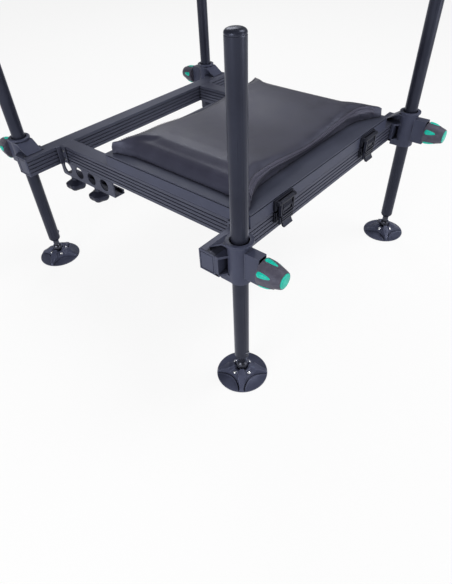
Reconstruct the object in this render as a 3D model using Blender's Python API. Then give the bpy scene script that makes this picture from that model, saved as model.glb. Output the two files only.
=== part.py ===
"""Fishing seat frame: a grooved rail frame on four sliding legs, with a clip-on padded seat.

Metres, +Z up. The origin is on the ground, in the middle of the four legs.
X runs across the seat and +Y points to the sitter's feet.
"""
import math

import bmesh
import bpy
from mathutils import Matrix, Vector

# Air between pieces, and how deep joined shapes run into each other
GAP = 0.0003
FUSE = 0.002

# Rail frame
FRAME_DEPTH = 0.516
SIDE_RAIL_SPREAD = 0.444
RAIL_BOTTOM = 0.237
RAIL_HEIGHT = 0.036
RAIL_WIDTH = 0.030
RAIL_WALL = 0.0028
GROOVE_COUNT = 4
GROOVE_DEPTH = 0.0013
GROOVE_MOUTH = 0.0026
CAP_FLANGE = 0.0025
CAP_PLUG = 0.010
CAP_BORDER = 0.004
CAP_RECESS = 0.0008

# Legs
LEG_SPREAD_X = 0.554
LEG_STANDOFF = 0.024
TUBE_DIAMETER = 0.025
TUBE_WALL = 0.0015
TUBE_LENGTH = 0.500
TUBE_CROWN = 0.005
TUBE_CROWN_WALL = 0.004
ROUND_SIDES = 16

# Feet
FOOT_DIAMETER = 0.091
FOOT_RIM = 0.003
HUB_DIAMETER = 0.030
HUB_VALLEY = 0.020
HUB_RIDGE = 0.029
RIDGE_COUNT = 4
BALL_DIAMETER = 0.021
SOCKET_AIR = 0.0008
BALL_HEIGHT = 0.025
NECK_DIAMETER = 0.013
NECK_LENGTH = 0.019
STUD_CONE = 0.008
STUD_PLUG = 0.034
FOOT_SWIVEL = {"rear_left": 37, "rear_right": 37, "front_left": 29, "front_right": 33}

# Snap buttons
BUTTON_DIAMETER = 0.007
BUTTON_ABOVE_END = 0.010
BUTTON_PROUD = 0.0025
BUTTON_LENGTH = 0.0095
BUTTON_FACES = {"rear_left": -90, "rear_right": 0, "front_left": 0, "front_right": 180}

# Leg blocks
SLEEVE_WALL = 0.005
SLEEVE_BELOW = 0.011
SLEEVE_ABOVE = 0.0235
SLEEVE_LIP = 0.003
SLEEVE_LIP_HEIGHT = 0.0045
SLEEVE_MOUTH = 0.003
SLEEVE_MOUTH_DEPTH = 0.006
PLATE_WIDTH = 0.056
PLATE_THICK = 0.006
WEB_THICK = 0.004
WEB_INSET = 0.0005
WEB_ROOT = 0.009
HOOD_FLAT = 0.018
HOOD_REACH = 0.043
HOOD_SKIN = 0.003
HOOD_RIB = 0.008
BOSS_WIDTH = 0.018
BOSS_HEIGHT = 0.046
BOSS_REACH = 0.040
BOSS_POCKET_WALL = 0.002
BOSS_POCKET_DEPTH = 0.007

# Lock knobs and clamp pads
KNOB_RISE = 0.0245
KNOB_LENGTH = 0.037
KNOB_BASE_DIAMETER = 0.040
KNOB_TIP_DIAMETER = 0.026
KNOB_STAND_OFF = 0.001
LOCK_STUD_DIAMETER = 0.010
PAD_DIAMETER = 0.013
PAD_THICK = 0.005
LOCK_TRAVEL = 0.00225
KNOB_SIDES = 15
KNOB_FLOOR = 0.005
CORE_DIAMETER = 0.020
GRIP_COUNT = 5
GRIP_PHASE = 1 / 6
GRIP_LENGTH = 0.022
GRIP_WIDTH = 0.0085
GRIP_PROUD = 0.0008
GRIP_SET_BACK = 0.002
TIP_DISC_DIAMETER = 0.0232
TIP_DISC_THICK = 0.002
TIP_DISC_PROUD = 0.0008

# Seat module
MODULE_DEPTH = 0.338
RING_HEIGHT = 0.0207
RING_WIDTH = 0.030
BOARD_THICK = 0.003
BOARD_EDGE = 0.001
PAD_EDGE_INSET = 0.004
PAD_DRAW_SIDES = 0.018
PAD_DRAW_ENDS = 0.030
PAD_EAR_RUN = 0.066
PAD_EAR_POWER = 1.6
PAD_POINTS_SIDES = 14
PAD_POINTS_ENDS = 20
PAD_MIDDLE_HEIGHT = 0.018
PAD_CREST_HEIGHT = 0.030
PAD_EDGE_HEIGHT = 0.020
PAD_CREST_INBOARD = 0.068
PAD_WAIST = 0.0035
PAD_ROUND = 0.006

# Seat latches
LATCH_OFFSET = 0.139
LATCH_WIDTH = 0.046
LATCH_BASE_THICK = 0.004
LATCH_BASE_MARGIN = 0.0012
LATCH_EAR = 0.004
LATCH_PIN_DIAMETER = 0.004
LATCH_PIN_REACH = 0.0025
LATCH_AXIS_OUT = 0.008
LATCH_AXIS_DROP = 0.006
LATCH_BARREL_DIAMETER = 0.0072
LEVER_THICK = 0.0044
LEVER_DROP = 0.040
LEVER_WINDOW_WIDTH = 0.026
LEVER_WINDOW_HEIGHT = 0.008
LEVER_WINDOW_DROP = 0.012
TAB_WIDTH = 0.024
TAB_LENGTH = 0.006
TAB_FLARE = 0.004
CATCH_WIDTH = 0.046
CATCH_PLATE = 0.002
CATCH_HEIGHT = 0.018
CATCH_LIP_DROP = 0.024
CATCH_LIP_HEIGHT = 0.0035
HOOK_WIDTH = 0.024
HOOK_HEIGHT = 0.004
HOOK_DEPTH = 0.0024

# Footplate channels under the side rails
CHANNEL_REAR = 0.079
CHANNEL_FRONT = 0.250
CHANNEL_DEPTH = 0.0332
CHANNEL_WIDTH = 0.024
CHANNEL_WALL = 0.003
CHANNEL_TOP_FLANGE = 0.024
CHANNEL_LIP = 0.009
CHANNEL_LIP_FRONT = 0.205
HOLE_DIAMETER = 0.025
HOLE_PITCH = 0.040
HOLE_COUNT = 4
HOLE_FIRST = 0.108
HOLE_DROP = 0.0145
CHANNEL_SCREW_HEAD = 0.008
CHANNEL_SCREW_HEAD_HEIGHT = 0.003
CHANNEL_SCREWS = (0.128, 0.208)

# Hand knobs under the channels
HAND_KNOB_PLACES = {"rear": 0.152, "front": 0.232}
HAND_KNOB_INBOARD = 0.012
HAND_KNOB_DIAMETER = 0.044
HAND_KNOB_HEIGHT = 0.024
HAND_KNOB_LOBES = 5
HAND_KNOB_LOBE_DEPTH = 0.16
HAND_STUD_DIAMETER = 0.008
HAND_STUD_PROUD = 0.002
CHANNEL_NUT_DIAMETER = 0.015
CHANNEL_NUT_HEIGHT = 0.008

# Corner angles
ANGLE_LEG = 0.013
ANGLE_THICK = 0.003

# Places that follow from the sizes above
RAIL_TOP = RAIL_BOTTOM + RAIL_HEIGHT
RAIL_MIDDLE = RAIL_BOTTOM + RAIL_HEIGHT / 2
CROSS_FACE = FRAME_DEPTH / 2
CROSS_INNER = CROSS_FACE - RAIL_WIDTH
SIDE_FACE = SIDE_RAIL_SPREAD / 2
SIDE_INNER = SIDE_FACE - RAIL_WIDTH
LEG_X = LEG_SPREAD_X / 2
LEG_Y = CROSS_FACE + LEG_STANDOFF
TUBE_RADIUS = TUBE_DIAMETER / 2
TUBE_BORE = TUBE_RADIUS - TUBE_WALL
TUBE_END = BALL_HEIGHT + NECK_LENGTH + STUD_CONE
TUBE_TOP = TUBE_END + TUBE_LENGTH
SLEEVE_BORE = TUBE_RADIUS + GAP
SLEEVE_RADIUS = SLEEVE_BORE + SLEEVE_WALL
KNOB_HEIGHT = RAIL_BOTTOM + KNOB_RISE
RING_BOTTOM = RAIL_TOP + GAP
RING_TOP = RING_BOTTOM + RING_HEIGHT
LEVER_AXIS = RING_TOP - LATCH_AXIS_DROP
CATCH_REACH = LATCH_AXIS_OUT - LEVER_THICK / 2 - GAP
MODULE_FRONT = MODULE_DEPTH - CROSS_FACE
BOARD_BOTTOM = RING_TOP + GAP
BOARD_TOP = BOARD_BOTTOM + BOARD_THICK
PAD_BOTTOM = BOARD_TOP + GAP
CHANNEL_TOP = RAIL_BOTTOM - GAP
CHANNEL_BOTTOM = CHANNEL_TOP - CHANNEL_DEPTH
CORNERS = {"rear_left": (-1, -1), "rear_right": (1, -1), "front_left": (-1, 1), "front_right": (1, 1)}
SIDES = {"left": -1, "right": 1}
QUARTER = math.pi / 2
TO_MINUS_Y = Matrix.Rotation(QUARTER, 4, 'X')
TO_PLUS_X = Matrix.Rotation(QUARTER, 4, 'Y')
ALONG_X = Matrix(((0, 0, 1, 0), (1, 0, 0, 0), (0, 1, 0, 0), (0, 0, 0, 1)))


def clear_scene():
    """Start from an empty scene."""
    for item in list(bpy.data.objects):
        bpy.data.objects.remove(item, do_unlink=True)


def make_material(name, colour, roughness, metallic):
    """A plain Principled finish."""
    finish = bpy.data.materials.new(name)
    finish.use_nodes = True
    shader = finish.node_tree.nodes["Principled BSDF"]
    shader.inputs["Base Color"].default_value = (*colour, 1.0)
    shader.inputs["Roughness"].default_value = roughness
    shader.inputs["Metallic"].default_value = metallic
    return finish


def close_mesh(bm, name):
    """Merge seams, point the faces out and hand back a mesh."""
    bmesh.ops.remove_doubles(bm, verts=bm.verts, dist=1e-6)
    bmesh.ops.recalc_face_normals(bm, faces=bm.faces)
    mesh = bpy.data.meshes.new(name)
    bm.to_mesh(mesh)
    bm.free()
    return mesh


def box(low, high):
    """A block between two corners."""
    bm = bmesh.new()
    bmesh.ops.create_cube(bm, size=1.0)
    size = Vector(high) - Vector(low)
    middle = (Vector(high) + Vector(low)) / 2
    bmesh.ops.scale(bm, vec=size, verts=bm.verts)
    bmesh.ops.translate(bm, vec=middle, verts=bm.verts)
    return close_mesh(bm, "box")


def turned(profile, sides=ROUND_SIDES):
    """Spin a profile of (radius, height) points round Z; it starts and ends on the axis."""
    bm = bmesh.new()
    points = [bm.verts.new((radius, 0.0, height)) for radius, height in profile]
    edges = [bm.edges.new(pair) for pair in zip(points, points[1:])]
    bmesh.ops.spin(bm, geom=points + edges, axis=(0, 0, 1), cent=(0, 0, 0), angle=2 * math.pi,
                   steps=sides, use_merge=True)
    return close_mesh(bm, "turned")


def rod(radius, low, high, sides=ROUND_SIDES):
    """A plain round bar along Z."""
    return turned([(0, low), (radius, low), (radius, high), (0, high)], sides)


def prism(outline, low, high, hole=None):
    """Extrude a flat outline along Z, with an optional hole right through."""
    bm = bmesh.new()
    edges = []
    for loop in (outline, hole or []):
        corners = [bm.verts.new((x, y, low)) for x, y in loop]
        edges += [bm.edges.new((corners[i - 1], corners[i])) for i in range(len(corners))]
    bmesh.ops.triangle_fill(bm, edges=edges, use_beauty=True)
    raised = bmesh.ops.extrude_face_region(bm, geom=bm.faces[:])["geom"]
    moved = [item for item in raised if isinstance(item, bmesh.types.BMVert)]
    bmesh.ops.translate(bm, vec=(0, 0, high - low), verts=moved)
    return close_mesh(bm, "prism")


def loft(rings):
    """Skin a row of rings that have the same number of points, and close both ends."""
    bm = bmesh.new()
    loops = [[bm.verts.new(point) for point in ring] for ring in rings]
    for lower, upper in zip(loops, loops[1:]):
        for i in range(len(lower)):
            bm.faces.new((lower[i - 1], lower[i], upper[i], upper[i - 1]))
    bm.faces.new(loops[0])
    bm.faces.new(loops[-1])
    return close_mesh(bm, "loft")


def placed(mesh, *steps):
    """Move or turn a mesh by one matrix after another."""
    for step in steps:
        mesh.transform(step)
    return mesh


def shift(x=0.0, y=0.0, z=0.0):
    return Matrix.Translation((x, y, z))


def boolean(mesh, tools, operation):
    """Cut or join with each tool in turn and keep the result as a new mesh."""
    for tool in tools:
        body = bpy.data.objects.new("body", mesh)
        other = bpy.data.objects.new("tool", tool)
        for item in (body, other):
            bpy.context.scene.collection.objects.link(item)
        modifier = body.modifiers.new("boolean", 'BOOLEAN')
        modifier.object = other
        modifier.operation = operation
        graph = bpy.context.evaluated_depsgraph_get()
        mesh = bpy.data.meshes.new_from_object(body.evaluated_get(graph))
        bpy.data.objects.remove(body)
        bpy.data.objects.remove(other)
    bm = bmesh.new()
    bm.from_mesh(mesh)
    bmesh.ops.dissolve_limit(bm, angle_limit=math.radians(0.2), verts=bm.verts, edges=bm.edges)
    return close_mesh(bm, "cut")


def cut(mesh, tools):
    return boolean(mesh, tools, 'DIFFERENCE')


def fused(meshes):
    return boolean(meshes[0], meshes[1:], 'UNION')


def add_anchor(name, location, turn=0.0):
    """An empty that carries the pieces of one corner, latch or knob."""
    anchor = bpy.data.objects.new(name, None)
    anchor.location = location
    anchor.rotation_euler = (0, 0, turn)
    bpy.context.scene.collection.objects.link(anchor)
    return anchor


def add_piece(name, mesh, finish, parent=None, location=(0, 0, 0), turn=0.0):
    """One named piece of the assembly."""
    mesh = mesh.copy()
    mesh.name = name
    mesh.materials.clear()
    mesh.materials.append(finish)
    mesh.shade_smooth()
    mesh.set_sharp_from_angle(angle=math.radians(35))
    piece = bpy.data.objects.new(name, mesh)
    piece.parent = parent
    piece.location = location
    piece.rotation_euler = (0, 0, turn)
    bpy.context.scene.collection.objects.link(piece)
    return piece


def rail_outline():
    """Rail section in (across, up): a box with V grooves down both faces."""
    half = RAIL_WIDTH / 2
    pitch = RAIL_HEIGHT / (GROOVE_COUNT + 1)
    side = [(half, -RAIL_HEIGHT / 2)]
    for i in range(GROOVE_COUNT):
        level = (i + 1) * pitch - RAIL_HEIGHT / 2
        side += [(half, level - GROOVE_MOUTH / 2), (half - GROOVE_DEPTH, level),
                 (half, level + GROOVE_MOUTH / 2)]
    side.append((half, RAIL_HEIGHT / 2))
    return side + [(-across, -up) for across, up in side]


def rail_cavity():
    """Hollow of the rail, clear of the groove bottoms."""
    across = RAIL_WIDTH / 2 - GROOVE_DEPTH - RAIL_WALL
    up = RAIL_HEIGHT / 2 - RAIL_WALL
    return [(across, -up), (across, up), (-across, up), (-across, -up)]


def rail_along_x(length):
    mesh = prism(rail_outline(), -length / 2, length / 2, rail_cavity())
    return placed(mesh, Matrix.Rotation(QUARTER, 4, 'Z'), TO_PLUS_X)


def rail_along_y(length):
    return placed(rail_along_x(length), Matrix.Rotation(QUARTER, 4, 'Z'))


def end_cap():
    """Plastic plug for a rail end, facing +X, with a shallow panel in its face."""
    across = RAIL_WIDTH / 2
    up = RAIL_HEIGHT / 2
    flange = box((GAP, -across, -up), (GAP + CAP_FLANGE, across, up))
    panel_low = (CAP_FLANGE + GAP - CAP_RECESS, CAP_BORDER - across, CAP_BORDER - up)
    panel_high = (2 * CAP_FLANGE, across - CAP_BORDER, up - CAP_BORDER)
    hollow_across, hollow_up = rail_cavity()[1]
    plug = box((-CAP_PLUG, GAP - hollow_across, GAP - hollow_up),
               (GAP + CAP_FLANGE / 2, hollow_across - GAP, hollow_up - GAP))
    return fused([cut(flange, [box(panel_low, panel_high)]), plug])


def build_rails(alloy, plastic):
    """Two cross rails, two side rails and the rail under the front of the seat."""
    cross_length = LEG_SPREAD_X + PLATE_WIDTH - 2 * (CAP_FLANGE + GAP)
    cross = rail_along_x(cross_length)
    middle = CROSS_FACE - RAIL_WIDTH / 2
    add_piece("rear_cross_rail", cross, alloy, location=(0, -middle, RAIL_MIDDLE))
    add_piece("front_cross_rail", cross, alloy, location=(0, middle, RAIL_MIDDLE))
    side = rail_along_y(2 * (CROSS_INNER - GAP))
    for name, sign in SIDES.items():
        place = (sign * (SIDE_FACE - RAIL_WIDTH / 2), 0, RAIL_MIDDLE)
        add_piece(name + "_side_rail", side, alloy, location=place)
    lip_top = LEVER_AXIS - CATCH_LIP_DROP - RAIL_MIDDLE
    seat_rail = rail_along_x(2 * (SIDE_INNER - GAP))
    lip = box((GAP - SIDE_INNER, RAIL_WIDTH / 2 - FUSE, lip_top - CATCH_LIP_HEIGHT),
              (SIDE_INNER - GAP, RAIL_WIDTH / 2 + CATCH_REACH, lip_top))
    place = (0, MODULE_FRONT - RAIL_WIDTH / 2, RAIL_MIDDLE)
    add_piece("seat_cross_rail", fused([seat_rail, lip]), alloy, location=place)
    for name, (sign_x, sign_y) in CORNERS.items():
        place = (sign_x * cross_length / 2, sign_y * middle, RAIL_MIDDLE)
        turn = 0.0 if sign_x > 0 else math.pi
        add_piece("rail_end_cap_" + name, end_cap(), plastic, location=place, turn=turn)


def bolt_head(diameter, height, sides=8):
    """Low round head on z = 0, with a root that runs into the piece below it."""
    radius = diameter / 2
    return turned([(0, -FUSE), (radius, -FUSE), (radius, height * 0.7), (radius * 0.72, height),
                   (0, height)], sides)


def corner_angle(sign_x, sign_y):
    """Bent angle between a side rail's outer face and a cross rail's inner face."""
    side = SIDE_FACE + GAP
    cross = CROSS_INNER - GAP
    outline = [(side, cross), (side + ANGLE_LEG, cross), (side + ANGLE_LEG, cross - ANGLE_THICK),
               (side + ANGLE_THICK, cross - ANGLE_THICK), (side + ANGLE_THICK, cross - ANGLE_LEG),
               (side, cross - ANGLE_LEG)]
    return prism([(sign_x * x, sign_y * y) for x, y in outline], RAIL_BOTTOM, RAIL_TOP)


def build_corner_angles(alloy):
    for name, signs in CORNERS.items():
        add_piece("corner_angle_" + name, corner_angle(*signs), alloy)


def leg_block():
    """Moulded block, leg axis at the origin, rail towards +Y, knob boss towards -Y."""
    low = RAIL_BOTTOM - SLEEVE_BELOW
    high = RAIL_TOP + SLEEVE_ABOVE
    lip = SLEEVE_RADIUS + SLEEVE_LIP
    sleeve = turned([(0, low), (SLEEVE_RADIUS, low), (SLEEVE_RADIUS, high - SLEEVE_LIP_HEIGHT),
                     (lip, high - SLEEVE_LIP_HEIGHT), (lip, high), (0, high)])
    face = LEG_STANDOFF - GAP
    half = PLATE_WIDTH / 2
    plate = box((-half, face - PLATE_THICK, RAIL_BOTTOM), (half, face, RAIL_TOP))
    back = face - PLATE_THICK + FUSE
    near = face - PLATE_THICK
    meet = SLEEVE_RADIUS * 0.8
    web = [(-half, back), (-half, near), (-meet, WEB_ROOT), (meet, WEB_ROOT), (half, near), (half, back)]
    webs = [prism(web, RAIL_TOP - WEB_INSET - WEB_THICK, RAIL_TOP - WEB_INSET),
            prism(web, RAIL_BOTTOM + WEB_INSET, RAIL_BOTTOM + WEB_INSET + WEB_THICK)]
    side = SLEEVE_RADIUS * 0.98
    shelf = box((-side, 0, low + WEB_INSET), (side, face - WEB_INSET, RAIL_BOTTOM + WEB_THICK / 2))
    boss = box((-BOSS_WIDTH / 2, -BOSS_REACH, KNOB_HEIGHT - BOSS_HEIGHT / 2),
               (BOSS_WIDTH / 2, -TUBE_RADIUS, KNOB_HEIGHT + BOSS_HEIGHT / 2))
    hood = block_hood(high - SLEEVE_LIP_HEIGHT - WEB_INSET, side)
    solid = fused([sleeve, plate, *webs, shelf, *hood, boss])
    mouth = SLEEVE_BORE + SLEEVE_MOUTH
    step = high - SLEEVE_MOUTH_DEPTH
    bore = turned([(0, low - SLEEVE_LIP), (SLEEVE_BORE, low - SLEEVE_LIP), (SLEEVE_BORE, step),
                   (mouth, step), (mouth, high + SLEEVE_LIP), (0, high + SLEEVE_LIP)])
    pad_room = TUBE_RADIUS + GAP + PAD_THICK + LOCK_TRAVEL + GAP
    pad_bore = PAD_DIAMETER / 2 + GAP
    stud_bore = LOCK_STUD_DIAMETER / 2 + GAP
    across = turned([(0, 0), (pad_bore, 0), (pad_bore, pad_room), (stud_bore, pad_room),
                     (stud_bore, BOSS_REACH - FUSE), (0, BOSS_REACH - FUSE)], 12)
    across = placed(across, TO_MINUS_Y, shift(z=KNOB_HEIGHT))
    room_x = BOSS_WIDTH / 2 - BOSS_POCKET_WALL
    room_z = BOSS_HEIGHT / 2 - BOSS_POCKET_WALL
    pocket = box((-room_x, -BOSS_REACH - FUSE, KNOB_HEIGHT - room_z),
                 (room_x, BOSS_POCKET_DEPTH - BOSS_REACH, KNOB_HEIGHT + room_z))
    return cut(solid, [bore, pocket, across])


def block_hood(top, side):
    """Skin that runs back from the sleeve and slopes down onto the rail's top, with one rib under it."""
    seat = RAIL_TOP + GAP
    skin = [(0, top), (HOOD_FLAT, top), (HOOD_REACH, seat + HOOD_SKIN / 2), (HOOD_REACH, seat),
            (HOOD_REACH - 2 * HOOD_SKIN, seat), (HOOD_FLAT - HOOD_SKIN / 3, top - HOOD_SKIN),
            (0, top - HOOD_SKIN)]
    under = RAIL_TOP - WEB_INSET - WEB_THICK / 2
    over = seat + WEB_INSET
    rib = [(WEB_ROOT, top - HOOD_SKIN / 2), (HOOD_FLAT, top - HOOD_SKIN / 2),
           (HOOD_REACH - 1.5 * HOOD_SKIN, over), (LEG_STANDOFF - FUSE, over),
           (LEG_STANDOFF - FUSE, under), (WEB_ROOT, under)]
    shapes = [prism(skin, -side, side), prism(rib, -HOOD_RIB / 2, HOOD_RIB / 2)]
    return [placed(shape, ALONG_X) for shape in shapes]


def leg_tube(button_turn):
    """Tube closed by a domed crown, with one hole for the snap button."""
    ceiling = TUBE_TOP - TUBE_CROWN_WALL
    dome = ((1.0, 0.0), (0.94, 0.5), (0.6, 0.9), (0.0, 1.0))
    profile = [(0, ceiling), (TUBE_BORE, ceiling), (TUBE_BORE, TUBE_END), (TUBE_RADIUS, TUBE_END)]
    profile += [(TUBE_RADIUS * out, TUBE_TOP + TUBE_CROWN * up) for out, up in dome]
    tube = turned(profile)
    return cut(tube, [button_hole(TUBE_RADIUS - 2 * TUBE_WALL, TUBE_DIAMETER, button_turn)])


def button_hole(start, end, turn):
    """Round cutter along the button's axis, a little wider than the button."""
    hole = rod(BUTTON_DIAMETER / 2 + GAP, start, end, 8)
    return placed(hole, TO_PLUS_X, shift(z=TUBE_END + BUTTON_ABOVE_END), Matrix.Rotation(turn, 4, 'Z'))


def snap_button():
    """Domed button along +X; its origin is on its own axis at the leg's middle."""
    outer = TUBE_RADIUS + BUTTON_PROUD
    radius = BUTTON_DIAMETER / 2
    inner = outer - BUTTON_LENGTH
    mesh = turned([(0, inner), (radius, inner), (radius, outer - BUTTON_PROUD / 2), (radius * 0.6, outer),
                   (0, outer)], 8)
    return placed(mesh, TO_PLUS_X)


def foot_stud(button_turn):
    """Ball, neck and plug in one turned piece, bored for the snap button."""
    ball = BALL_DIAMETER / 2
    neck = NECK_DIAMETER / 2
    plug = TUBE_BORE - GAP
    meet = math.asin(neck / ball)
    steps = 6
    arc = [math.pi - (math.pi - meet) * i / steps for i in range(1, steps + 1)]
    profile = [(0, BALL_HEIGHT - ball)]
    profile += [(ball * math.sin(a), BALL_HEIGHT + ball * math.cos(a)) for a in arc]
    shoulder = TUBE_END - GAP
    top = TUBE_END + STUD_PLUG
    profile += [(neck, TUBE_END - STUD_CONE), (TUBE_RADIUS, shoulder - STUD_CONE * 0.15),
                (TUBE_RADIUS, shoulder), (plug, shoulder), (plug, top), (0, top)]
    pocket = TUBE_RADIUS - BUTTON_LENGTH - GAP
    return cut(turned(profile, 12), [button_hole(pocket, TUBE_DIAMETER, button_turn)])


def foot():
    """Round foot with ridges up to the ball socket; the origin is at the ball's centre."""
    sides = 6 * RIDGE_COUNT
    rim = FOOT_DIAMETER / 2
    hub = HUB_DIAMETER / 2
    socket = BALL_DIAMETER / 2 + SOCKET_AIR
    turns = [2 * math.pi * i / sides for i in range(sides)]
    ridge = [((1 + math.cos(RIDGE_COUNT * turn)) / 2) ** 3 for turn in turns]
    crown = [HUB_VALLEY + (HUB_RIDGE - HUB_VALLEY) * share for share in ridge]

    def ring(radius, heights):
        return [(r * math.cos(turn), r * math.sin(turn), height - BALL_HEIGHT)
                for turn, r, height in zip(turns, radius, heights)]

    def flank(climb):
        radius = rim + (hub - rim) * climb
        valley = climb ** 3.2
        spur = climb ** 1.2
        return ring([radius] * sides,
                    [FOOT_RIM + (top - FOOT_RIM) * (valley + (spur - valley) * share)
                     for top, share in zip(crown, ridge)])

    rings = [ring([rim - FOOT_RIM / 3] * sides, [0] * sides), ring([rim] * sides, [FOOT_RIM / 3] * sides)]
    rings += [flank(climb) for climb in (0, 0.14, 0.5, 0.78, 1)]
    dips = [math.acos((top - BALL_HEIGHT) / socket) for top in crown]
    for share in (0, 0.25, 0.5, 0.75, 0.92):
        angles = [dip + (math.pi - dip) * share for dip in dips]
        rings.append(ring([socket * math.sin(a) for a in angles],
                          [BALL_HEIGHT + socket * math.cos(a) for a in angles]))
    return loft(rings)


def knob_radius(along):
    """Barrel radius at a distance from the knob's base."""
    share = along / KNOB_LENGTH
    base = KNOB_BASE_DIAMETER / 2
    tip = KNOB_TIP_DIAMETER / 2
    return base - (base - tip) * max(0.0, share - 0.15) ** 1.5 / 0.85 ** 1.5


def lock_knob():
    """Dark barrel with its moulded-in stud, pointing along -Y; windows let the core's grips through."""
    base = BOSS_REACH + KNOB_STAND_OFF
    tip = base + KNOB_LENGTH
    stud = LOCK_STUD_DIAMETER / 2
    stud_end = TUBE_RADIUS + GAP + PAD_THICK + GAP
    seat = TIP_DISC_DIAMETER / 2 + GAP
    bore = CORE_DIAMETER / 2 + GAP
    profile = [(0, stud_end), (stud, stud_end), (stud, base), (KNOB_BASE_DIAMETER * 0.45, base)]
    profile += [(knob_radius(s * KNOB_LENGTH), base + s * KNOB_LENGTH) for s in (0.06, 0.35, 0.68, 0.95)]
    profile += [(KNOB_TIP_DIAMETER * 0.48, tip), (seat, tip), (seat, tip - TIP_DISC_THICK),
                (bore, tip - TIP_DISC_THICK), (bore, base + KNOB_FLOOR), (0, base + KNOB_FLOOR)]
    windows = [knob_grip(n, GAP, KNOB_BASE_DIAMETER / 4) for n in range(GRIP_COUNT)]
    return placed(cut(turned(profile, KNOB_SIDES), windows), TO_MINUS_Y)


def knob_grip(number, margin, proud):
    """Drop-shaped post of the core, from inside the core out past the barrel."""
    base = BOSS_REACH + KNOB_STAND_OFF
    middle = 2 * math.pi * (number + GRIP_PHASE) / GRIP_COUNT
    shape = ((0.0, 0.55), (0.18, 1.0), (0.65, 0.75), (1.0, 0.35))
    edge = [(along, width) for along, width in shape] + [(along, -width) for along, width in reversed(shape)]
    rings = []
    for outside in (False, True):
        ring = []
        for share, width in edge:
            end_shift = margin * (2 * share - 1)
            along = GRIP_SET_BACK + share * GRIP_LENGTH + end_shift
            across = width * GRIP_WIDTH / 2 + math.copysign(margin, width)
            reach = knob_radius(along) + proud if outside else CORE_DIAMETER / 2 - FUSE
            ring.append((reach * math.cos(middle) - across * math.sin(middle),
                         reach * math.sin(middle) + across * math.cos(middle), base + along))
        rings.append(ring)
    return loft(rings)


def knob_core():
    """Green core inside the barrel: drop-shaped grips and the disc on the tip."""
    base = BOSS_REACH + KNOB_STAND_OFF
    tip = base + KNOB_LENGTH
    core = CORE_DIAMETER / 2
    disc = TIP_DISC_DIAMETER / 2
    floor = base + KNOB_FLOOR + GAP
    seat = tip - TIP_DISC_THICK + GAP
    end = tip + TIP_DISC_PROUD
    body = turned([(0, floor), (core, floor), (core, seat), (disc, seat), (disc, tip), (disc * 0.85, end),
                   (0, end)], KNOB_SIDES)
    grips = [knob_grip(n, 0.0, GRIP_PROUD) for n in range(GRIP_COUNT)]
    return placed(fused([body, *grips]), TO_MINUS_Y)


def clamp_pad():
    """Nylon pad between the stud's end and the leg tube."""
    inner = TUBE_RADIUS + GAP
    return placed(rod(PAD_DIAMETER / 2, inner, inner + PAD_THICK, 12), TO_MINUS_Y)


def build_corner(name, signs, finishes):
    """Block, leg, foot and lock of one corner; front corners are turned half round."""
    sign_x, sign_y = signs
    turn = 0.0 if sign_y < 0 else math.pi
    place = (sign_x * LEG_X, sign_y * LEG_Y, 0)
    corner = add_anchor("corner_" + name, place, turn)
    add_piece("leg_block_" + name, leg_block(), finishes["plastic"], corner)
    knob_place = (0, 0, KNOB_HEIGHT)
    add_piece("lock_knob_" + name, lock_knob(), finishes["plastic"], corner, knob_place)
    add_piece("knob_core_" + name, knob_core(), finishes["green"], corner, knob_place)
    add_piece("clamp_pad_" + name, clamp_pad(), finishes["nylon"], corner, knob_place)
    leg = add_anchor("leg_" + name, place)
    button_turn = math.radians(BUTTON_FACES[name])
    add_piece("leg_tube_" + name, leg_tube(button_turn), finishes["alloy"], leg)
    add_piece("foot_stud_" + name, foot_stud(button_turn), finishes["chrome"], leg)
    add_piece("snap_button_" + name, snap_button(), finishes["steel"], leg,
              (0, 0, TUBE_END + BUTTON_ABOVE_END), button_turn)
    add_piece("foot_" + name, foot(), finishes["plastic"], leg, (0, 0, BALL_HEIGHT),
              math.radians(FOOT_SWIVEL[name]))


def seat_ring():
    """Moulded ring that sits on the rails, carries the seat board and has the latch hinges on it."""
    outlines = []
    for inset in (0, RING_WIDTH):
        x = SIDE_FACE - inset
        rear = inset - CROSS_FACE
        front = MODULE_FRONT - inset
        outlines.append([(x, rear), (x, front), (-x, front), (-x, rear)])
    ring = prism(outlines[0], RING_BOTTOM, RING_TOP, outlines[1])
    hinges = [placed(latch_hinge(), latch_turn(sign_y), latch_place(sign_x, sign_y))
              for sign_x, sign_y in CORNERS.values()]
    return fused([ring, *hinges])


def seat_board():
    """Flat board over the ring, with its top edge broken all round."""
    rings = []
    for inset, level in ((0, BOARD_BOTTOM), (0, BOARD_TOP - BOARD_EDGE), (BOARD_EDGE, BOARD_TOP)):
        x = SIDE_FACE - inset
        rear = inset - CROSS_FACE
        front = MODULE_FRONT - inset
        rings.append([(x, rear, level), (x, front, level), (-x, front, level), (-x, rear, level)])
    return loft(rings)


def pad_height(x):
    """Height of the pad's top above its base: low in the middle, a crest near each side."""
    crest = SIDE_FACE - PAD_CREST_INBOARD
    if abs(x) < crest:
        climb = (1 - math.cos(math.pi * x / crest)) / 2
        return PAD_MIDDLE_HEIGHT + (PAD_CREST_HEIGHT - PAD_MIDDLE_HEIGHT) * climb
    share = (abs(x) - crest) / PAD_CREST_INBOARD
    return PAD_CREST_HEIGHT - (PAD_CREST_HEIGHT - PAD_EDGE_HEIGHT) * share * share


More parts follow.
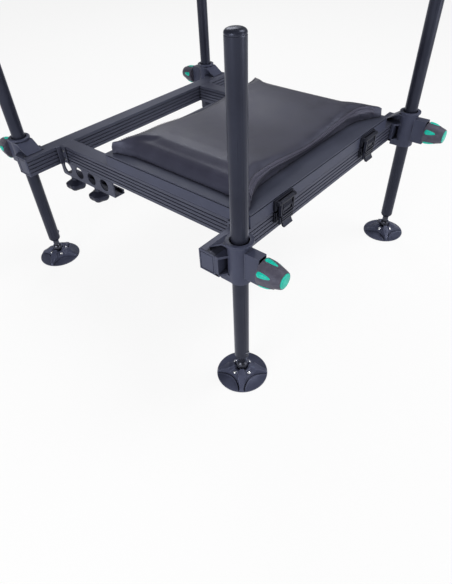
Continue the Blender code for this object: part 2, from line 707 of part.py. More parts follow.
def pad_outline():
    """Plan of the pad round its middle: ears at the board's corners and sides pulled in between them."""
    half = SIDE_FACE - PAD_EDGE_INSET
    depth = MODULE_DEPTH / 2 - PAD_EDGE_INSET
    points = []
    for number in range(4):
        along, across = (half, depth) if number % 2 == 0 else (depth, half)
        draw = PAD_DRAW_ENDS if number % 2 == 0 else PAD_DRAW_SIDES
        steps = PAD_POINTS_ENDS if number % 2 == 0 else PAD_POINTS_SIDES
        for i in range(steps):
            run = along * math.cos(math.pi * (i + 0.5) / steps)
            ear = max(0.0, 1 - (along - abs(run)) / PAD_EAR_RUN) ** PAD_EAR_POWER
            out = across - draw * (1 - ear)
            turn = Matrix.Rotation(QUARTER * number, 2)
            points.append(turn @ Vector((run, out)))
    return points


def seat_pad():
    """Saddle-topped cushion whose sides are drawn in between its corners."""
    outline = pad_outline()
    middle = (MODULE_FRONT - CROSS_FACE) / 2

    def ring(inset, share, level):
        points = []
        for spot in outline:
            x, y = (spot - spot.normalized() * inset) * share
            points.append((x, middle + y, PAD_BOTTOM + level(pad_height(x))))
        return points

    rings = [ring(PAD_WAIST, 1.0, lambda top: 0.0),
             ring(PAD_WAIST * 1.2, 1.0, lambda top: top * 0.35),
             ring(0.0, 1.0, lambda top: top - PAD_ROUND),
             ring(PAD_ROUND * 0.3, 1.0, lambda top: top - PAD_ROUND * 0.3)]
    rings += [ring(PAD_ROUND, share, lambda top: top) for share in (1.0, 0.86, 0.68, 0.48, 0.28, 0.1)]
    return loft(rings)


def build_seat(finishes):
    add_piece("seat_ring", seat_ring(), finishes["plastic"])
    add_piece("seat_board", seat_board(), finishes["plastic"])
    add_piece("seat_pad", seat_pad(), finishes["fabric"])


def latch_turn(sign_y):
    """Latches are drawn facing +Y, and the rear ones are turned half round."""
    return Matrix.Rotation(math.pi if sign_y < 0 else 0.0, 4, 'Z')


def latch_place(sign_x, sign_y):
    return shift(sign_x * LATCH_OFFSET, -CROSS_FACE if sign_y < 0 else MODULE_FRONT, LEVER_AXIS)


def latch_hinge():
    """Pad, ears and pins on the ring's face; outwards is +Y and z = 0 is the lever's axis."""
    half = LATCH_WIDTH / 2
    low = RING_BOTTOM + LATCH_BASE_MARGIN - LEVER_AXIS
    high = RING_TOP - LATCH_BASE_MARGIN - LEVER_AXIS
    barrel = LATCH_BARREL_DIAMETER / 2
    parts = [box((-half, -FUSE, low), (half, LATCH_BASE_THICK, high))]
    for sign in (-1, 1):
        start, end = sorted((sign * half, sign * (half - LATCH_EAR)))
        parts.append(box((start, -FUSE / 2, -barrel), (end, LATCH_AXIS_OUT + barrel, barrel)))
        start, end = sorted((sign * (half - LATCH_EAR / 2), sign * (half - LATCH_EAR - LATCH_PIN_REACH)))
        parts.append(placed(rod(LATCH_PIN_DIAMETER / 2, start, end, 8), TO_PLUS_X, shift(y=LATCH_AXIS_OUT)))
    return fused(parts)


def latch_lever():
    """Snap lever hanging from the base; the origin is on its hinge axis, outwards is +Y."""
    half = LATCH_WIDTH / 2 - LATCH_EAR - GAP
    barrel = placed(rod(LATCH_BARREL_DIAMETER / 2, -half, half, 12), TO_PLUS_X)
    inner = -LEVER_THICK / 2
    outer = LEVER_THICK / 2
    plate = box((-half, inner, -LEVER_DROP), (half, outer, 0))
    window_top = -LEVER_WINDOW_DROP
    window = box((-LEVER_WINDOW_WIDTH / 2, 2 * inner, window_top - LEVER_WINDOW_HEIGHT),
                 (LEVER_WINDOW_WIDTH / 2, 2 * outer, window_top))
    hook_top = -CATCH_LIP_DROP - CATCH_LIP_HEIGHT - GAP
    hook = box((-HOOK_WIDTH / 2, inner - HOOK_DEPTH, hook_top - HOOK_HEIGHT), (HOOK_WIDTH / 2, 0, hook_top))
    tab_top = -LEVER_DROP + LEVER_THICK
    tab_bottom = -LEVER_DROP - TAB_LENGTH
    tab_outline = [(inner, tab_top), (outer, tab_top), (outer + TAB_FLARE, tab_bottom),
                   (inner + TAB_FLARE, tab_bottom)]
    tab = placed(prism(tab_outline, -TAB_WIDTH / 2, TAB_WIDTH / 2), ALONG_X)
    sockets = []
    for sign in (-1, 1):
        start, end = sorted((sign * (half + GAP), sign * (half - LATCH_PIN_REACH)))
        sockets.append(placed(rod(LATCH_PIN_DIAMETER / 2 + GAP, start, end, 8), TO_PLUS_X))
    return cut(fused([barrel, plate, hook, tab]), [window, *sockets])


def latch_catch():
    """Plate with a lip on the rear rail's face; outwards is +Y and z = 0 is the lever's axis."""
    half = CATCH_WIDTH / 2
    lip_top = -CATCH_LIP_DROP
    middle = lip_top - CATCH_LIP_HEIGHT / 2
    plate = box((-half, GAP, middle - CATCH_HEIGHT / 2), (half, CATCH_PLATE, middle + CATCH_HEIGHT / 2))
    lip = box((-half, CATCH_PLATE / 2, lip_top - CATCH_LIP_HEIGHT), (half, CATCH_REACH, lip_top))
    return fused([plate, lip])


def build_latches(finishes):
    """Two levers on each of the seat's rear and front faces; the rear rail carries two catches."""
    for name, (sign_x, sign_y) in CORNERS.items():
        turn = math.pi if sign_y < 0 else 0.0
        face = latch_place(sign_x, sign_y).translation
        pivot = (face.x, face.y + sign_y * LATCH_AXIS_OUT, face.z)
        add_piece("latch_lever_" + name, latch_lever(), finishes["plastic"], location=pivot, turn=turn)
        if sign_y < 0:
            add_piece("latch_catch_" + name, latch_catch(), finishes["plastic"], location=face, turn=turn)


def footplate_channel(sign):
    """Channel under a side rail: pierced outer wall, floor with weld nuts, low inner lip, top flange."""
    outer = SIDE_FACE
    wall = outer - CHANNEL_WALL
    floor = CHANNEL_BOTTOM + CHANNEL_WALL
    inner = outer - CHANNEL_WIDTH
    flange = outer - CHANNEL_TOP_FLANGE
    ceiling = CHANNEL_TOP - CHANNEL_WALL
    lip_top = CHANNEL_BOTTOM + CHANNEL_LIP
    outline = [(outer, CHANNEL_BOTTOM), (outer, CHANNEL_TOP), (flange, CHANNEL_TOP), (flange, ceiling),
               (wall, ceiling), (wall, floor), (inner + CHANNEL_WALL, floor),
               (inner + CHANNEL_WALL, lip_top), (inner, lip_top), (inner, CHANNEL_BOTTOM)]
    mesh = prism([(sign * x, z) for x, z in outline], -CHANNEL_FRONT, -CHANNEL_REAR)
    mesh = placed(mesh, TO_MINUS_Y)
    hole_level = CHANNEL_TOP - HOLE_DROP
    tools = []
    for i in range(HOLE_COUNT):
        hole = placed(rod(HOLE_DIAMETER / 2, -2 * CHANNEL_WALL, 2 * CHANNEL_WALL, 16), TO_PLUS_X)
        tools.append(placed(hole, shift(sign * (wall + outer) / 2, HOLE_FIRST + i * HOLE_PITCH, hole_level)))
    lip_x = sorted((sign * (inner - CHANNEL_WALL), sign * (inner + CHANNEL_WALL + GAP)))
    tools.append(box((lip_x[0], CHANNEL_LIP_FRONT, floor),
                     (lip_x[1], CHANNEL_FRONT + CHANNEL_WALL, lip_top + CHANNEL_LIP)))
    knob_x = sign * (outer - HAND_KNOB_INBOARD)
    stud_bore = HAND_STUD_DIAMETER / 2 + GAP
    nuts = []
    for y in HAND_KNOB_PLACES.values():
        stud = rod(stud_bore, CHANNEL_BOTTOM - 2 * CHANNEL_NUT_HEIGHT, floor + CHANNEL_WALL, 12)
        tools.append(placed(stud, shift(knob_x, y)))
        nut = rod(CHANNEL_NUT_DIAMETER / 2, CHANNEL_BOTTOM - CHANNEL_NUT_HEIGHT, CHANNEL_BOTTOM + FUSE, 12)
        nuts.append(placed(nut, shift(knob_x, y)))
    screw_x = sign * (outer - (CHANNEL_WALL + CHANNEL_TOP_FLANGE) / 2)
    upside_down = Matrix.Rotation(math.pi, 4, 'X')
    heads = [placed(bolt_head(CHANNEL_SCREW_HEAD, CHANNEL_SCREW_HEAD_HEIGHT), upside_down,
                    shift(screw_x, y, ceiling)) for y in CHANNEL_SCREWS]
    return cut(fused([mesh, *heads, *nuts]), tools)


def hand_knob():
    """Five-lobed knob with its stud pointing up; z = 0 is the top of the knob's collar."""
    sides = 4 * HAND_KNOB_LOBES
    radius = HAND_KNOB_DIAMETER / 2
    collar = CHANNEL_NUT_DIAMETER / 2
    stud = HAND_STUD_DIAMETER / 2
    stud_top = GAP + CHANNEL_NUT_HEIGHT + CHANNEL_WALL + HAND_STUD_PROUD

    def ring(size, lobe, level):
        points = []
        for i in range(sides):
            turn = 2 * math.pi * i / sides
            r = size * (1 - lobe * HAND_KNOB_LOBE_DEPTH * (1 - math.cos(HAND_KNOB_LOBES * turn)) / 2)
            points.append((r * math.cos(turn), r * math.sin(turn), level))
        return points

    deep = -HAND_KNOB_HEIGHT
    return loft([ring(radius * 0.45, 0.3, deep), ring(radius * 0.86, 1.0, deep),
                 ring(radius, 1.0, deep * 0.78), ring(radius, 1.0, deep * 0.5),
                 ring(collar, 0.0, deep * 0.22), ring(collar, 0.0, 0.0),
                 ring(stud, 0.0, 0.0), ring(stud, 0.0, stud_top)])


def build_channels(finishes):
    """Both channels and the hand knobs under them."""
    collar = CHANNEL_BOTTOM - CHANNEL_NUT_HEIGHT - GAP
    for side, sign in SIDES.items():
        add_piece("footplate_channel_" + side, footplate_channel(sign), finishes["alloy"])
        for end, y in HAND_KNOB_PLACES.items():
            place = (sign * (SIDE_FACE - HAND_KNOB_INBOARD), y, collar)
            add_piece("hand_knob_%s_%s" % (end, side), hand_knob(), finishes["plastic"], location=place)


def main():
    clear_scene()
    finishes = {
        "alloy": make_material("black_anodised_alloy", (0.030, 0.033, 0.045), 0.42, 0.6),
        "plastic": make_material("black_moulded_plastic", (0.022, 0.024, 0.032), 0.48, 0.0),
        "green": make_material("green_moulded_rubber", (0.012, 0.42, 0.26), 0.4, 0.0),
        "chrome": make_material("dark_chrome", (0.35, 0.36, 0.40), 0.16, 1.0),
        "steel": make_material("zinc_steel", (0.30, 0.31, 0.34), 0.35, 1.0),
        "nylon": make_material("black_nylon", (0.03, 0.03, 0.03), 0.6, 0.0),
        "fabric": make_material("black_seat_cover", (0.035, 0.036, 0.048), 0.6, 0.0),
    }
    build_rails(finishes["alloy"], finishes["plastic"])
    build_corner_angles(finishes["alloy"])
    for name, signs in CORNERS.items():
        build_corner(name, signs, finishes)
    build_seat(finishes)
    build_latches(finishes)
    build_channels(finishes)


main()
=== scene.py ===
import math

import bmesh
import bpy
from mathutils import Matrix, Vector
from mathutils.bvhtree import BVHTree


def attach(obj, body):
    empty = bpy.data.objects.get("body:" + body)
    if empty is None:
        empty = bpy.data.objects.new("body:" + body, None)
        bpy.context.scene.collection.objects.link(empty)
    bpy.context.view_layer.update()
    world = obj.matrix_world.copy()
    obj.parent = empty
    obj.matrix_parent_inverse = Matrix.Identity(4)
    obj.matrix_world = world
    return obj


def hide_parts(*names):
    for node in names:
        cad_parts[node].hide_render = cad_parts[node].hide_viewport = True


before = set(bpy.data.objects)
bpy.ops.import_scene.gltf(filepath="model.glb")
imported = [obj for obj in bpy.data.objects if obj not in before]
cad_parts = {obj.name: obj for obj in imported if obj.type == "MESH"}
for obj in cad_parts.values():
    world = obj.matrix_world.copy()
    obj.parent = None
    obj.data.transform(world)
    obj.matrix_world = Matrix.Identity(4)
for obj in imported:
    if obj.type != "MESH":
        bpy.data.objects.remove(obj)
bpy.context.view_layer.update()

# Rails: five lengths of black anodised alloy, extruded as a box section with four narrow grooves down each
# face. Two long cross rails carry the legs, two side rails run between them, and a short one lies
# under the front edge of the seat, with a lip on it for the front latches.
RAIL_LOW = 0.237
RAIL_HIGH = 0.273
RAIL_LEVEL = (RAIL_LOW + RAIL_HIGH) / 2
RAIL_WIDTH = 0.030
RAIL_GROOVES = 4
GROOVE_DEPTH = 0.0018
GROOVE_MOUTH = 0.0021
GROOVE_FLOOR = 0.0013
RAIL_EDGE = 0.0004
CROSS_FACE = 0.258
CROSS_Y = CROSS_FACE - RAIL_WIDTH / 2
CROSS_HALF_LENGTH = 0.3022
SIDE_FACE = 0.222
SIDE_X = SIDE_FACE - RAIL_WIDTH / 2
SIDE_HALF_LENGTH = 0.2277
SEAT_FRONT = 0.080
SEAT_RAIL_HALF_LENGTH = 0.1917
LATCH_LIP_LEVEL = 0.2640
LATCH_LIP_HEIGHT = 0.0035
LATCH_LIP_REACH = 0.0055
ANODISED_DARK = (0.046, 0.049, 0.072)
ANODISED_PALE = (0.064, 0.068, 0.098)
# Edge colour of the anodising: a painted highlight along sharp edges, partly also wear
ANODISED_WEAR_AND_HIGHLIGHT = (0.170, 0.178, 0.230)
ALONG_X = (6, 700, 700)
ALONG_Y = (700, 6, 700)
GLOSS = 0.3
COOL_GLOSS = (0.70, 0.76, 1.0)
# Colour of the painted shade in corners and narrow gaps
CREVICE_SHADE = (0.004, 0.004, 0.007)
CLEARANCE = 0.0003


def feed(tree, socket, value):
    """Give a node's input a link, a colour or a number."""
    if isinstance(value, bpy.types.NodeSocket):
        tree.links.new(value, socket)
    else:
        socket.default_value = (*value, 1) if socket.type == 'RGBA' else value


def node(tree, kind, inputs=None, **settings):
    """Add a shader node, set it and feed its inputs, which go by name or number."""
    item = tree.nodes.new("ShaderNode" + kind)
    for name, value in settings.items():
        setattr(item, name, value)
    for socket, value in (inputs or {}).items():
        feed(tree, item.inputs[socket], value)
    return item


def new_finish(name, metallic=0.0):
    """An empty Principled finish: the material, its node tree and its shader."""
    finish = bpy.data.materials.new(name)
    finish.use_nodes = True
    tree = finish.node_tree
    shader = tree.nodes["Principled BSDF"]
    feed(tree, shader.inputs["Metallic"], metallic)
    feed(tree, shader.inputs["Specular IOR Level"], GLOSS)
    feed(tree, shader.inputs["Specular Tint"], COOL_GLOSS)
    return finish, tree, shader


def paint(tree, shader, colour, roughness, relief, strength, depth):
    """Feed a finish its colour, its gloss and a fine relief."""
    bump = node(tree, "Bump", {"Strength": strength, "Distance": depth, "Height": relief})
    feed(tree, shader.inputs["Base Color"], colour)
    feed(tree, shader.inputs["Roughness"], roughness)
    feed(tree, shader.inputs["Normal"], bump.outputs["Normal"])


def texture(tree, kind, scale, stretch=(1, 1, 1), **settings):
    """A noise or cell pattern on the piece's own coordinates."""
    place = node(tree, "TexCoord").outputs["Object"]
    mapping = node(tree, "Mapping", {"Vector": place, "Scale": stretch})
    return node(tree, kind, {"Vector": mapping.outputs["Vector"], "Scale": scale, **settings}).outputs[0]


def ramp(tree, source, low, high, start=0.3, end=0.7):
    """Spread a pattern between two colours or two grey levels."""
    spread = node(tree, "ValToRGB", {"Fac": source})
    for stop, place, colour in zip(spread.color_ramp.elements, (start, end), (low, high)):
        stop.position = place
        stop.color = (*colour, 1) if isinstance(colour, tuple) else (colour, colour, colour, 1)
    return spread.outputs["Color"]


def mixed(tree, share, first, second):
    """Mix two colours by a share."""
    return node(tree, "Mix", {0: share, 6: first, 7: second}, data_type='RGBA').outputs[2]


def edge_mask(tree, radius, strength):
    """How near a sharp edge a spot is, from the turn between the rounded and the true normal."""
    rounded = node(tree, "Bevel", {"Radius": radius}, samples=6).outputs["Normal"]
    true = node(tree, "NewGeometry").outputs["Normal"]
    dot = node(tree, "VectorMath", {0: rounded, 1: true}, operation='DOT_PRODUCT')
    return ramp(tree, dot.outputs["Value"], strength, 0.0, start=0.80, end=0.995)


def painted_crevice_shade(tree, colour, reach, strength):
    """Paint shade into a colour in corners and narrow gaps, where ambient occlusion finds little open space.
    """
    openness = node(tree, "AmbientOcclusion", {"Distance": reach}, samples=6).outputs["AO"]
    return mixed(tree, ramp(tree, openness, strength, 0.0, start=0.25, end=0.8), colour, CREVICE_SHADE)


def anodised_finish(name, stretch, dark=ANODISED_DARK, pale=ANODISED_PALE, smooth=0.34, rough=0.48,
                    gap=0.006):
    """Satin black anodising over fine die lines that run the way the section was drawn."""
    finish, tree, shader = new_finish(name, metallic=0.2)
    lines = texture(tree, "TexNoise", 1.0, stretch, Detail=3.0)
    clouds = texture(tree, "TexNoise", 18.0, Detail=4.0)
    streaked = mixed(tree, ramp(tree, lines, 0.0, 0.35), ramp(tree, clouds, dark, pale), pale)
    # Sharp edges turn lighter, a painted highlight that partly also stands for wear; corners and gaps then get
    # painted shade
    worn_and_highlit = mixed(tree, edge_mask(tree, radius=0.0007, strength=0.55), streaked, ANODISED_WEAR_AND_HIGHLIGHT)
    paint(tree, shader, painted_crevice_shade(tree, worn_and_highlit, gap, strength=0.85), ramp(tree, lines, smooth, rough),
          lines, strength=0.12, depth=0.0002)
    return finish


def as_mesh(bm, name):
    """Hand back what was made as a mesh."""
    mesh = bpy.data.meshes.new(name)
    bm.to_mesh(mesh)
    bm.free()
    return mesh


def to_mesh(bm, name):
    """Close the seams, point the faces outwards and hand back a mesh."""
    bmesh.ops.remove_doubles(bm, verts=bm.verts, dist=1e-6)
    bmesh.ops.recalc_face_normals(bm, faces=bm.faces)
    return as_mesh(bm, name)


def block(low, high):
    """A box between two corners."""
    bm = bmesh.new()
    bmesh.ops.create_cube(bm, size=1.0)
    bmesh.ops.scale(bm, vec=Vector(high) - Vector(low), verts=bm.verts)
    bmesh.ops.translate(bm, vec=(Vector(high) + Vector(low)) / 2, verts=bm.verts)
    return to_mesh(bm, "block")


def raised(bm, faces, way):
    """Pull faces out of a form along a way."""
    grown = bmesh.ops.extrude_face_region(bm, geom=faces)["geom"]
    verts = [item for item in grown if isinstance(item, bmesh.types.BMVert)]
    bmesh.ops.translate(bm, vec=way, verts=verts)
    return verts


def prism(outline, low, high, holes=()):
    """Extrude a flat outline along Z, with any holes right through it."""
    bm = bmesh.new()
    edges = []
    for loop in (outline, *holes):
        corners = [bm.verts.new((x, y, low)) for x, y in loop]
        edges += [bm.edges.new((corners[i - 1], corners[i])) for i in range(len(corners))]
    bmesh.ops.triangle_fill(bm, edges=edges, use_beauty=True)
    if not holes:
        bmesh.ops.dissolve_limit(bm, angle_limit=0.01, verts=[], edges=bm.edges[:])
    raised(bm, bm.faces[:], (0, 0, high - low))
    return to_mesh(bm, "prism")


def placed(mesh, *steps):
    """Turn or move a mesh by one matrix after another."""
    for step in steps:
        mesh.transform(step)
    return mesh


def all_placed(meshes, *steps):
    return [placed(mesh, *steps) for mesh in meshes]


def shift(x=0.0, y=0.0, z=0.0):
    return Matrix.Translation((x, y, z))


def turn(degrees, axis):
    return Matrix.Rotation(math.radians(degrees), 4, axis)


def add_piece(name, shapes, finish, body, nodes=(), rounding=0.0, segments=2, crease=35):
    """Join the shapes into one piece, round its edges and hang it on its body."""
    bm = bmesh.new()
    for shape in shapes:
        bm.from_mesh(shape)
        bpy.data.meshes.remove(shape)
    mesh = as_mesh(bm, name)
    mesh.materials.append(finish)
    mesh.shade_smooth()
    mesh.set_sharp_from_angle(angle=math.radians(crease))
    piece = bpy.data.objects.new(name, mesh)
    bpy.context.scene.collection.objects.link(piece)
    if rounding:
        edge = piece.modifiers.new("rounded_edges", 'BEVEL')
        edge.width = rounding
        edge.segments = segments
        edge.limit_method = 'ANGLE'
        edge.angle_limit = math.radians(crease)
        edge.harden_normals = True
    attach(piece, body)
    if nodes:
        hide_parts(*nodes)
    return piece


def rail_section():
    """Outline of the section, across and up, with flat-bottomed grooves down both faces."""
    half = RAIL_WIDTH / 2
    height = RAIL_HIGH - RAIL_LOW
    side = [(half, -height / 2)]
    for i in range(RAIL_GROOVES):
        level = (i + 1) * height / (RAIL_GROOVES + 1) - height / 2
        side += [(half, level - GROOVE_MOUTH / 2), (half - GROOVE_DEPTH, level - GROOVE_FLOOR / 2),
                 (half - GROOVE_DEPTH, level + GROOVE_FLOOR / 2), (half, level + GROOVE_MOUTH / 2)]
    side.append((half, height / 2))
    return side + [(-across, -up) for across, up in side]


def rail(half_length, x, y, heading):
    """One rail along X, or along Y where the heading is 90."""
    upright = prism(rail_section(), -half_length, half_length)
    return placed(upright, turn(90, 'Z'), turn(90, 'Y'), turn(heading, 'Z'), shift(x, y, RAIL_LEVEL))


rail_finish_x = anodised_finish("anodised_along_x", ALONG_X)
rail_finish_y = anodised_finish("anodised_along_y", ALONG_Y)
for end, y in (("rear", -CROSS_Y), ("front", CROSS_Y)):
    add_piece(end + "_rail", [rail(CROSS_HALF_LENGTH, 0, y, 0)], rail_finish_x, "frame",
              [end + "_cross_rail"], RAIL_EDGE)
for side, x in (("left", -SIDE_X), ("right", SIDE_X)):
    add_piece(side + "_rail", [rail(SIDE_HALF_LENGTH, x, 0, 90)], rail_finish_y, "frame",
              [side + "_side_rail"], RAIL_EDGE)
latch_lip = block((-SEAT_RAIL_HALF_LENGTH, SEAT_FRONT - GROOVE_DEPTH, LATCH_LIP_LEVEL - LATCH_LIP_HEIGHT),
                  (SEAT_RAIL_HALF_LENGTH, SEAT_FRONT + LATCH_LIP_REACH, LATCH_LIP_LEVEL))
add_piece("seat_rail", [rail(SEAT_RAIL_HALF_LENGTH, 0, SEAT_FRONT - RAIL_WIDTH / 2, 0), latch_lip],
          rail_finish_x, "frame", ["seat_cross_rail"], RAIL_EDGE)

# End caps: black polypropylene plugs pushed into the open ends of the cross rails. Each shows a flange
# with a groove pressed in round a flat panel.
CAP_FLANGE = 0.0025
CAP_BORDER = 0.0032
CAP_GROOVE = 0.0010
CAP_GROOVE_DEPTH = 0.0012
CAP_GROOVE_WALL = 0.0006
CAP_PANEL_RISE = CAP_GROOVE_DEPTH * 0.8
CAP_PLUG_DEPTH = 0.010
CAP_PLUG_HALF_WIDTH = RAIL_WIDTH / 2 - 0.005
CAP_PLUG_HALF_HEIGHT = (RAIL_HIGH - RAIL_LOW) / 2 - 0.004
CAP_EDGE = 0.0004
# Plastic colours: dark, pale, and a lighter edge colour that is a painted highlight, partly also wear
PLASTIC = ((0.038, 0.042, 0.070), (0.054, 0.059, 0.094), (0.165, 0.175, 0.235))
CORNERS = {"rear_left": (-1, -1), "rear_right": (1, -1), "front_left": (-1, 1), "front_right": (1, 1)}


def moulded_finish(name, dark, pale, worn_and_highlit, roughness, grain=1500.0, edge=0.0012, gap=0.016):
    """Satin black moulded plastic: spark-eroded grain, faint flow clouds, edges with painted highlight and
    some wear.
    """
    finish, tree, shader = new_finish(name)
    grains = texture(tree, "TexNoise", grain, Detail=2.0)
    clouds = texture(tree, "TexNoise", 22.0, Detail=5.0)
    specked = mixed(tree, ramp(tree, grains, 0.0, 0.3), ramp(tree, clouds, dark, pale), pale)
    # Sharp edges turn lighter, a painted highlight that partly also stands for wear; corners and gaps then get
    # painted shade
    edged = mixed(tree, edge_mask(tree, edge, strength=0.6), specked, worn_and_highlit)
    paint(tree, shader, painted_crevice_shade(tree, edged, gap, strength=0.85),
          ramp(tree, clouds, roughness - 0.07, roughness + 0.07), grains, strength=0.25, depth=0.00012)
    return finish


def end_cap():
    """Flange facing +X with a groove pressed in round its panel, and the plug behind it."""
    across = RAIL_WIDTH / 2
    up = (RAIL_HIGH - RAIL_LOW) / 2
    bm = bmesh.new()
    bm.from_mesh(block((CLEARANCE, -across, -up), (CLEARANCE + CAP_FLANGE, across, up)))
    face = max(bm.faces, key=lambda item: item.calc_center_median().x)
    for width, rise in ((CAP_BORDER, 0.0), (CAP_GROOVE_WALL, -CAP_GROOVE_DEPTH), (CAP_GROOVE, 0.0),
                        (CAP_GROOVE_WALL, CAP_PANEL_RISE)):
        bmesh.ops.inset_region(bm, faces=[face], thickness=width, depth=rise)
    plug = block((-CAP_PLUG_DEPTH, -CAP_PLUG_HALF_WIDTH, -CAP_PLUG_HALF_HEIGHT),
                 (CLEARANCE, CAP_PLUG_HALF_WIDTH, CAP_PLUG_HALF_HEIGHT))
    return [to_mesh(bm, "flange"), plug]


plastic = moulded_finish("moulded_plastic", *PLASTIC, roughness=0.46)
for corner, (sign_x, sign_y) in CORNERS.items():
    facing = (turn(0 if sign_x > 0 else 180, 'Z'),
              shift(sign_x * CROSS_HALF_LENGTH, sign_y * CROSS_Y, RAIL_LEVEL))
    add_piece("end_cap_" + corner, all_placed(end_cap(), *facing), plastic, "frame",
              ["rail_end_cap_" + corner], CAP_EDGE)

# Corner angles: bent black anodised strips in the inside corners of the rails, held by two small
# socket screws into each side rail.
ANGLE_LEG = 0.013
ANGLE_THICK = 0.003
ANGLE_EDGE = 0.0006
ANGLE_INNER = SIDE_FACE + CLEARANCE
ANGLE_CROSS = CROSS_FACE - RAIL_WIDTH - CLEARANCE
ANGLE_SCREW = (0.0030, 0.0018)
ANGLE_SCREW_Y = ANGLE_CROSS - 0.0078
ANGLE_SCREW_LEVELS = (0.246, 0.264)
# Outline of a screw's head, in shares of its radius and height
SCREW_SHAPE = ((0, -0.5), (1, -0.5), (1, 0.35), (0.86, 0.8), (0.62, 1), (0.5, 1), (0.475, 0.3), (0, 0.2))
STEEL = ((0.17, 0.175, 0.19), (0.36, 0.365, 0.385))
BLACK_STEEL = ((0.06, 0.062, 0.075), (0.11, 0.114, 0.13))


def spun(column, steps):
    """Spin a column of (radius, height) points round Z."""
    bm = bmesh.new()
    points = [bm.verts.new((radius, 0.0, height)) for radius, height in column]
    edges = [bm.edges.new(pair) for pair in zip(points, points[1:])]
    bmesh.ops.spin(bm, geom=points + edges, axis=(0, 0, 1), cent=(0, 0, 0), angle=2 * math.pi,
                   steps=steps, use_merge=True)
    return bm


def turned(profile, steps=48):
    """A turned form from its profile of (radius, height) points."""
    return to_mesh(spun(profile, steps), "turned")


def socket_screw(radius, height):
    """Button head on z = 0 with a socket in it."""
    return turned([(radius * out, height * up) for out, up in SCREW_SHAPE], 18)


def metal_finish(name, dark, pale, roughness, metallic=1.0):
    """Bare or plated metal with fine rub marks."""
    finish, tree, shader = new_finish(name, metallic)
    rubs = texture(tree, "TexNoise", 420.0, (1, 1, 0.15), Detail=4.0)
    clouds = texture(tree, "TexNoise", 60.0, Detail=3.0)
    paint(tree, shader, ramp(tree, clouds, dark, pale), ramp(tree, rubs, roughness * 0.75, roughness * 1.35),
          rubs, strength=0.05, depth=0.0001)
    return finish


steel = metal_finish("zinc_steel", *STEEL, roughness=0.34)
black_steel = metal_finish("black_steel", *BLACK_STEEL, roughness=0.38)
angle_outline = [(ANGLE_INNER, ANGLE_CROSS), (ANGLE_INNER + ANGLE_LEG, ANGLE_CROSS),
                 (ANGLE_INNER + ANGLE_LEG, ANGLE_CROSS - ANGLE_THICK),
                 (ANGLE_INNER + ANGLE_THICK, ANGLE_CROSS - ANGLE_THICK),
                 (ANGLE_INNER + ANGLE_THICK, ANGLE_CROSS - ANGLE_LEG), (ANGLE_INNER, ANGLE_CROSS - ANGLE_LEG)]
for corner, (sign_x, sign_y) in CORNERS.items():
    strip = prism([(sign_x * x, sign_y * y) for x, y in angle_outline], RAIL_LOW, RAIL_HIGH)
    add_piece("angle_" + corner, [strip], rail_finish_y, "frame", ["corner_angle_" + corner],
              ANGLE_EDGE)
    heads = [placed(socket_screw(*ANGLE_SCREW), turn(90 * sign_x, 'Y'),
                    shift(sign_x * (ANGLE_INNER + ANGLE_THICK), sign_y * ANGLE_SCREW_Y, level))
             for level in ANGLE_SCREW_LEVELS]
    add_piece("angle_screws_" + corner, heads, steel, "frame")

# Leg blocks: glass-filled nylon mouldings bolted to the outer faces of the cross rails. Each has a round
# sleeve for the leg, a hood that slopes onto the rail, two webs and a hollow boss for the lock knob.
LEG_X = 0.277
LEG_Y = 0.282
SLEEVE_LOW = 0.226
SLEEVE_HIGH = 0.2965
SLEEVE_BORE = 0.0128
SLEEVE_RADIUS = 0.0178
SLEEVE_EDGE = 0.0006
SLEEVE_GRIP = SLEEVE_BORE + 0.0012
LIP_RADIUS = 0.0208
LIP_LEVEL = 0.2920
# Rounded lower and upper edges of the sleeve's lip: how far in and how far along, in sleeve edges
LIP_UNDER = ((2.4, 0), (1.2, 0.3), (0.3, 1.2), (0, 2.4))
LIP_OVER = ((0, 1.2), (0.35, 0.35), (1.2, 0))
MOUTH_RADIUS = 0.0141
MOUTH_DEPTH = 0.006
RAIL_SIDE = 0.0237
PLATE_HALF = 0.028
PLATE_BACK = 0.0177
SHELF_LOW = 0.2690
WEB_LEVELS = ((0.2375, 0.2415), (SHELF_LOW, RAIL_HIGH))
WEB_ROOT = (-0.0150, 0.0085)
HOOD_HALF = 0.0174
HOOD_TOP = 0.2915
HOOD_SKIN = 0.003
HOOD_START = 0.003
HOOD_BEND = 0.018
HOOD_END = 0.043
HOOD_TOE = 0.0018
RIB_HALF = 0.004
RIB_START = 0.0135
RIB_TOP = HOOD_TOP - 0.001
RIB_TOE = (0.038, RAIL_HIGH + 0.0008)
RIB_HEEL = (0.022, RAIL_HIGH - 0.003)
BOSS_HALF = 0.009
BOSS_LOW = 0.2385
BOSS_HIGH = 0.2845
BOSS_ROOT = -0.0148
BOSS_END = -0.040
BOSS_RIM = 0.002
BOSS_POCKET = 0.007
BLOCK_EDGE = 0.0011
BLOCK_SCREW = (0.0026, 0.0010)
BLOCK_SCREW_X = 0.0215
BLOCK_SCREW_Y = 0.0395
# Turns a form drawn out and up, and extruded across, onto its side
ON_SIDE = Matrix(((0, 0, 1, 0), (1, 0, 0, 0), (0, 1, 0, 0), (0, 0, 0, 1)))


def sleeve_arc(start):
    """Points inside the sleeve's wall, from right to left, beyond a distance from the leg's axis."""
    reach = math.degrees(math.acos(min(1.0, start / SLEEVE_GRIP)))
    arc = [math.radians(90 - reach + 2 * reach * i / 12) for i in range(13)]
    return [(SLEEVE_GRIP * math.cos(a), SLEEVE_GRIP * math.sin(a)) for a in arc]


def round_plan(start, end):
    """Plan of a form that grips the sleeve with a hollow arc and is square at the rail."""
    square = [(-HOOD_HALF, start), (-HOOD_HALF, end), (HOOD_HALF, end)]
    return [(HOOD_HALF, start)] + sleeve_arc(start) + square


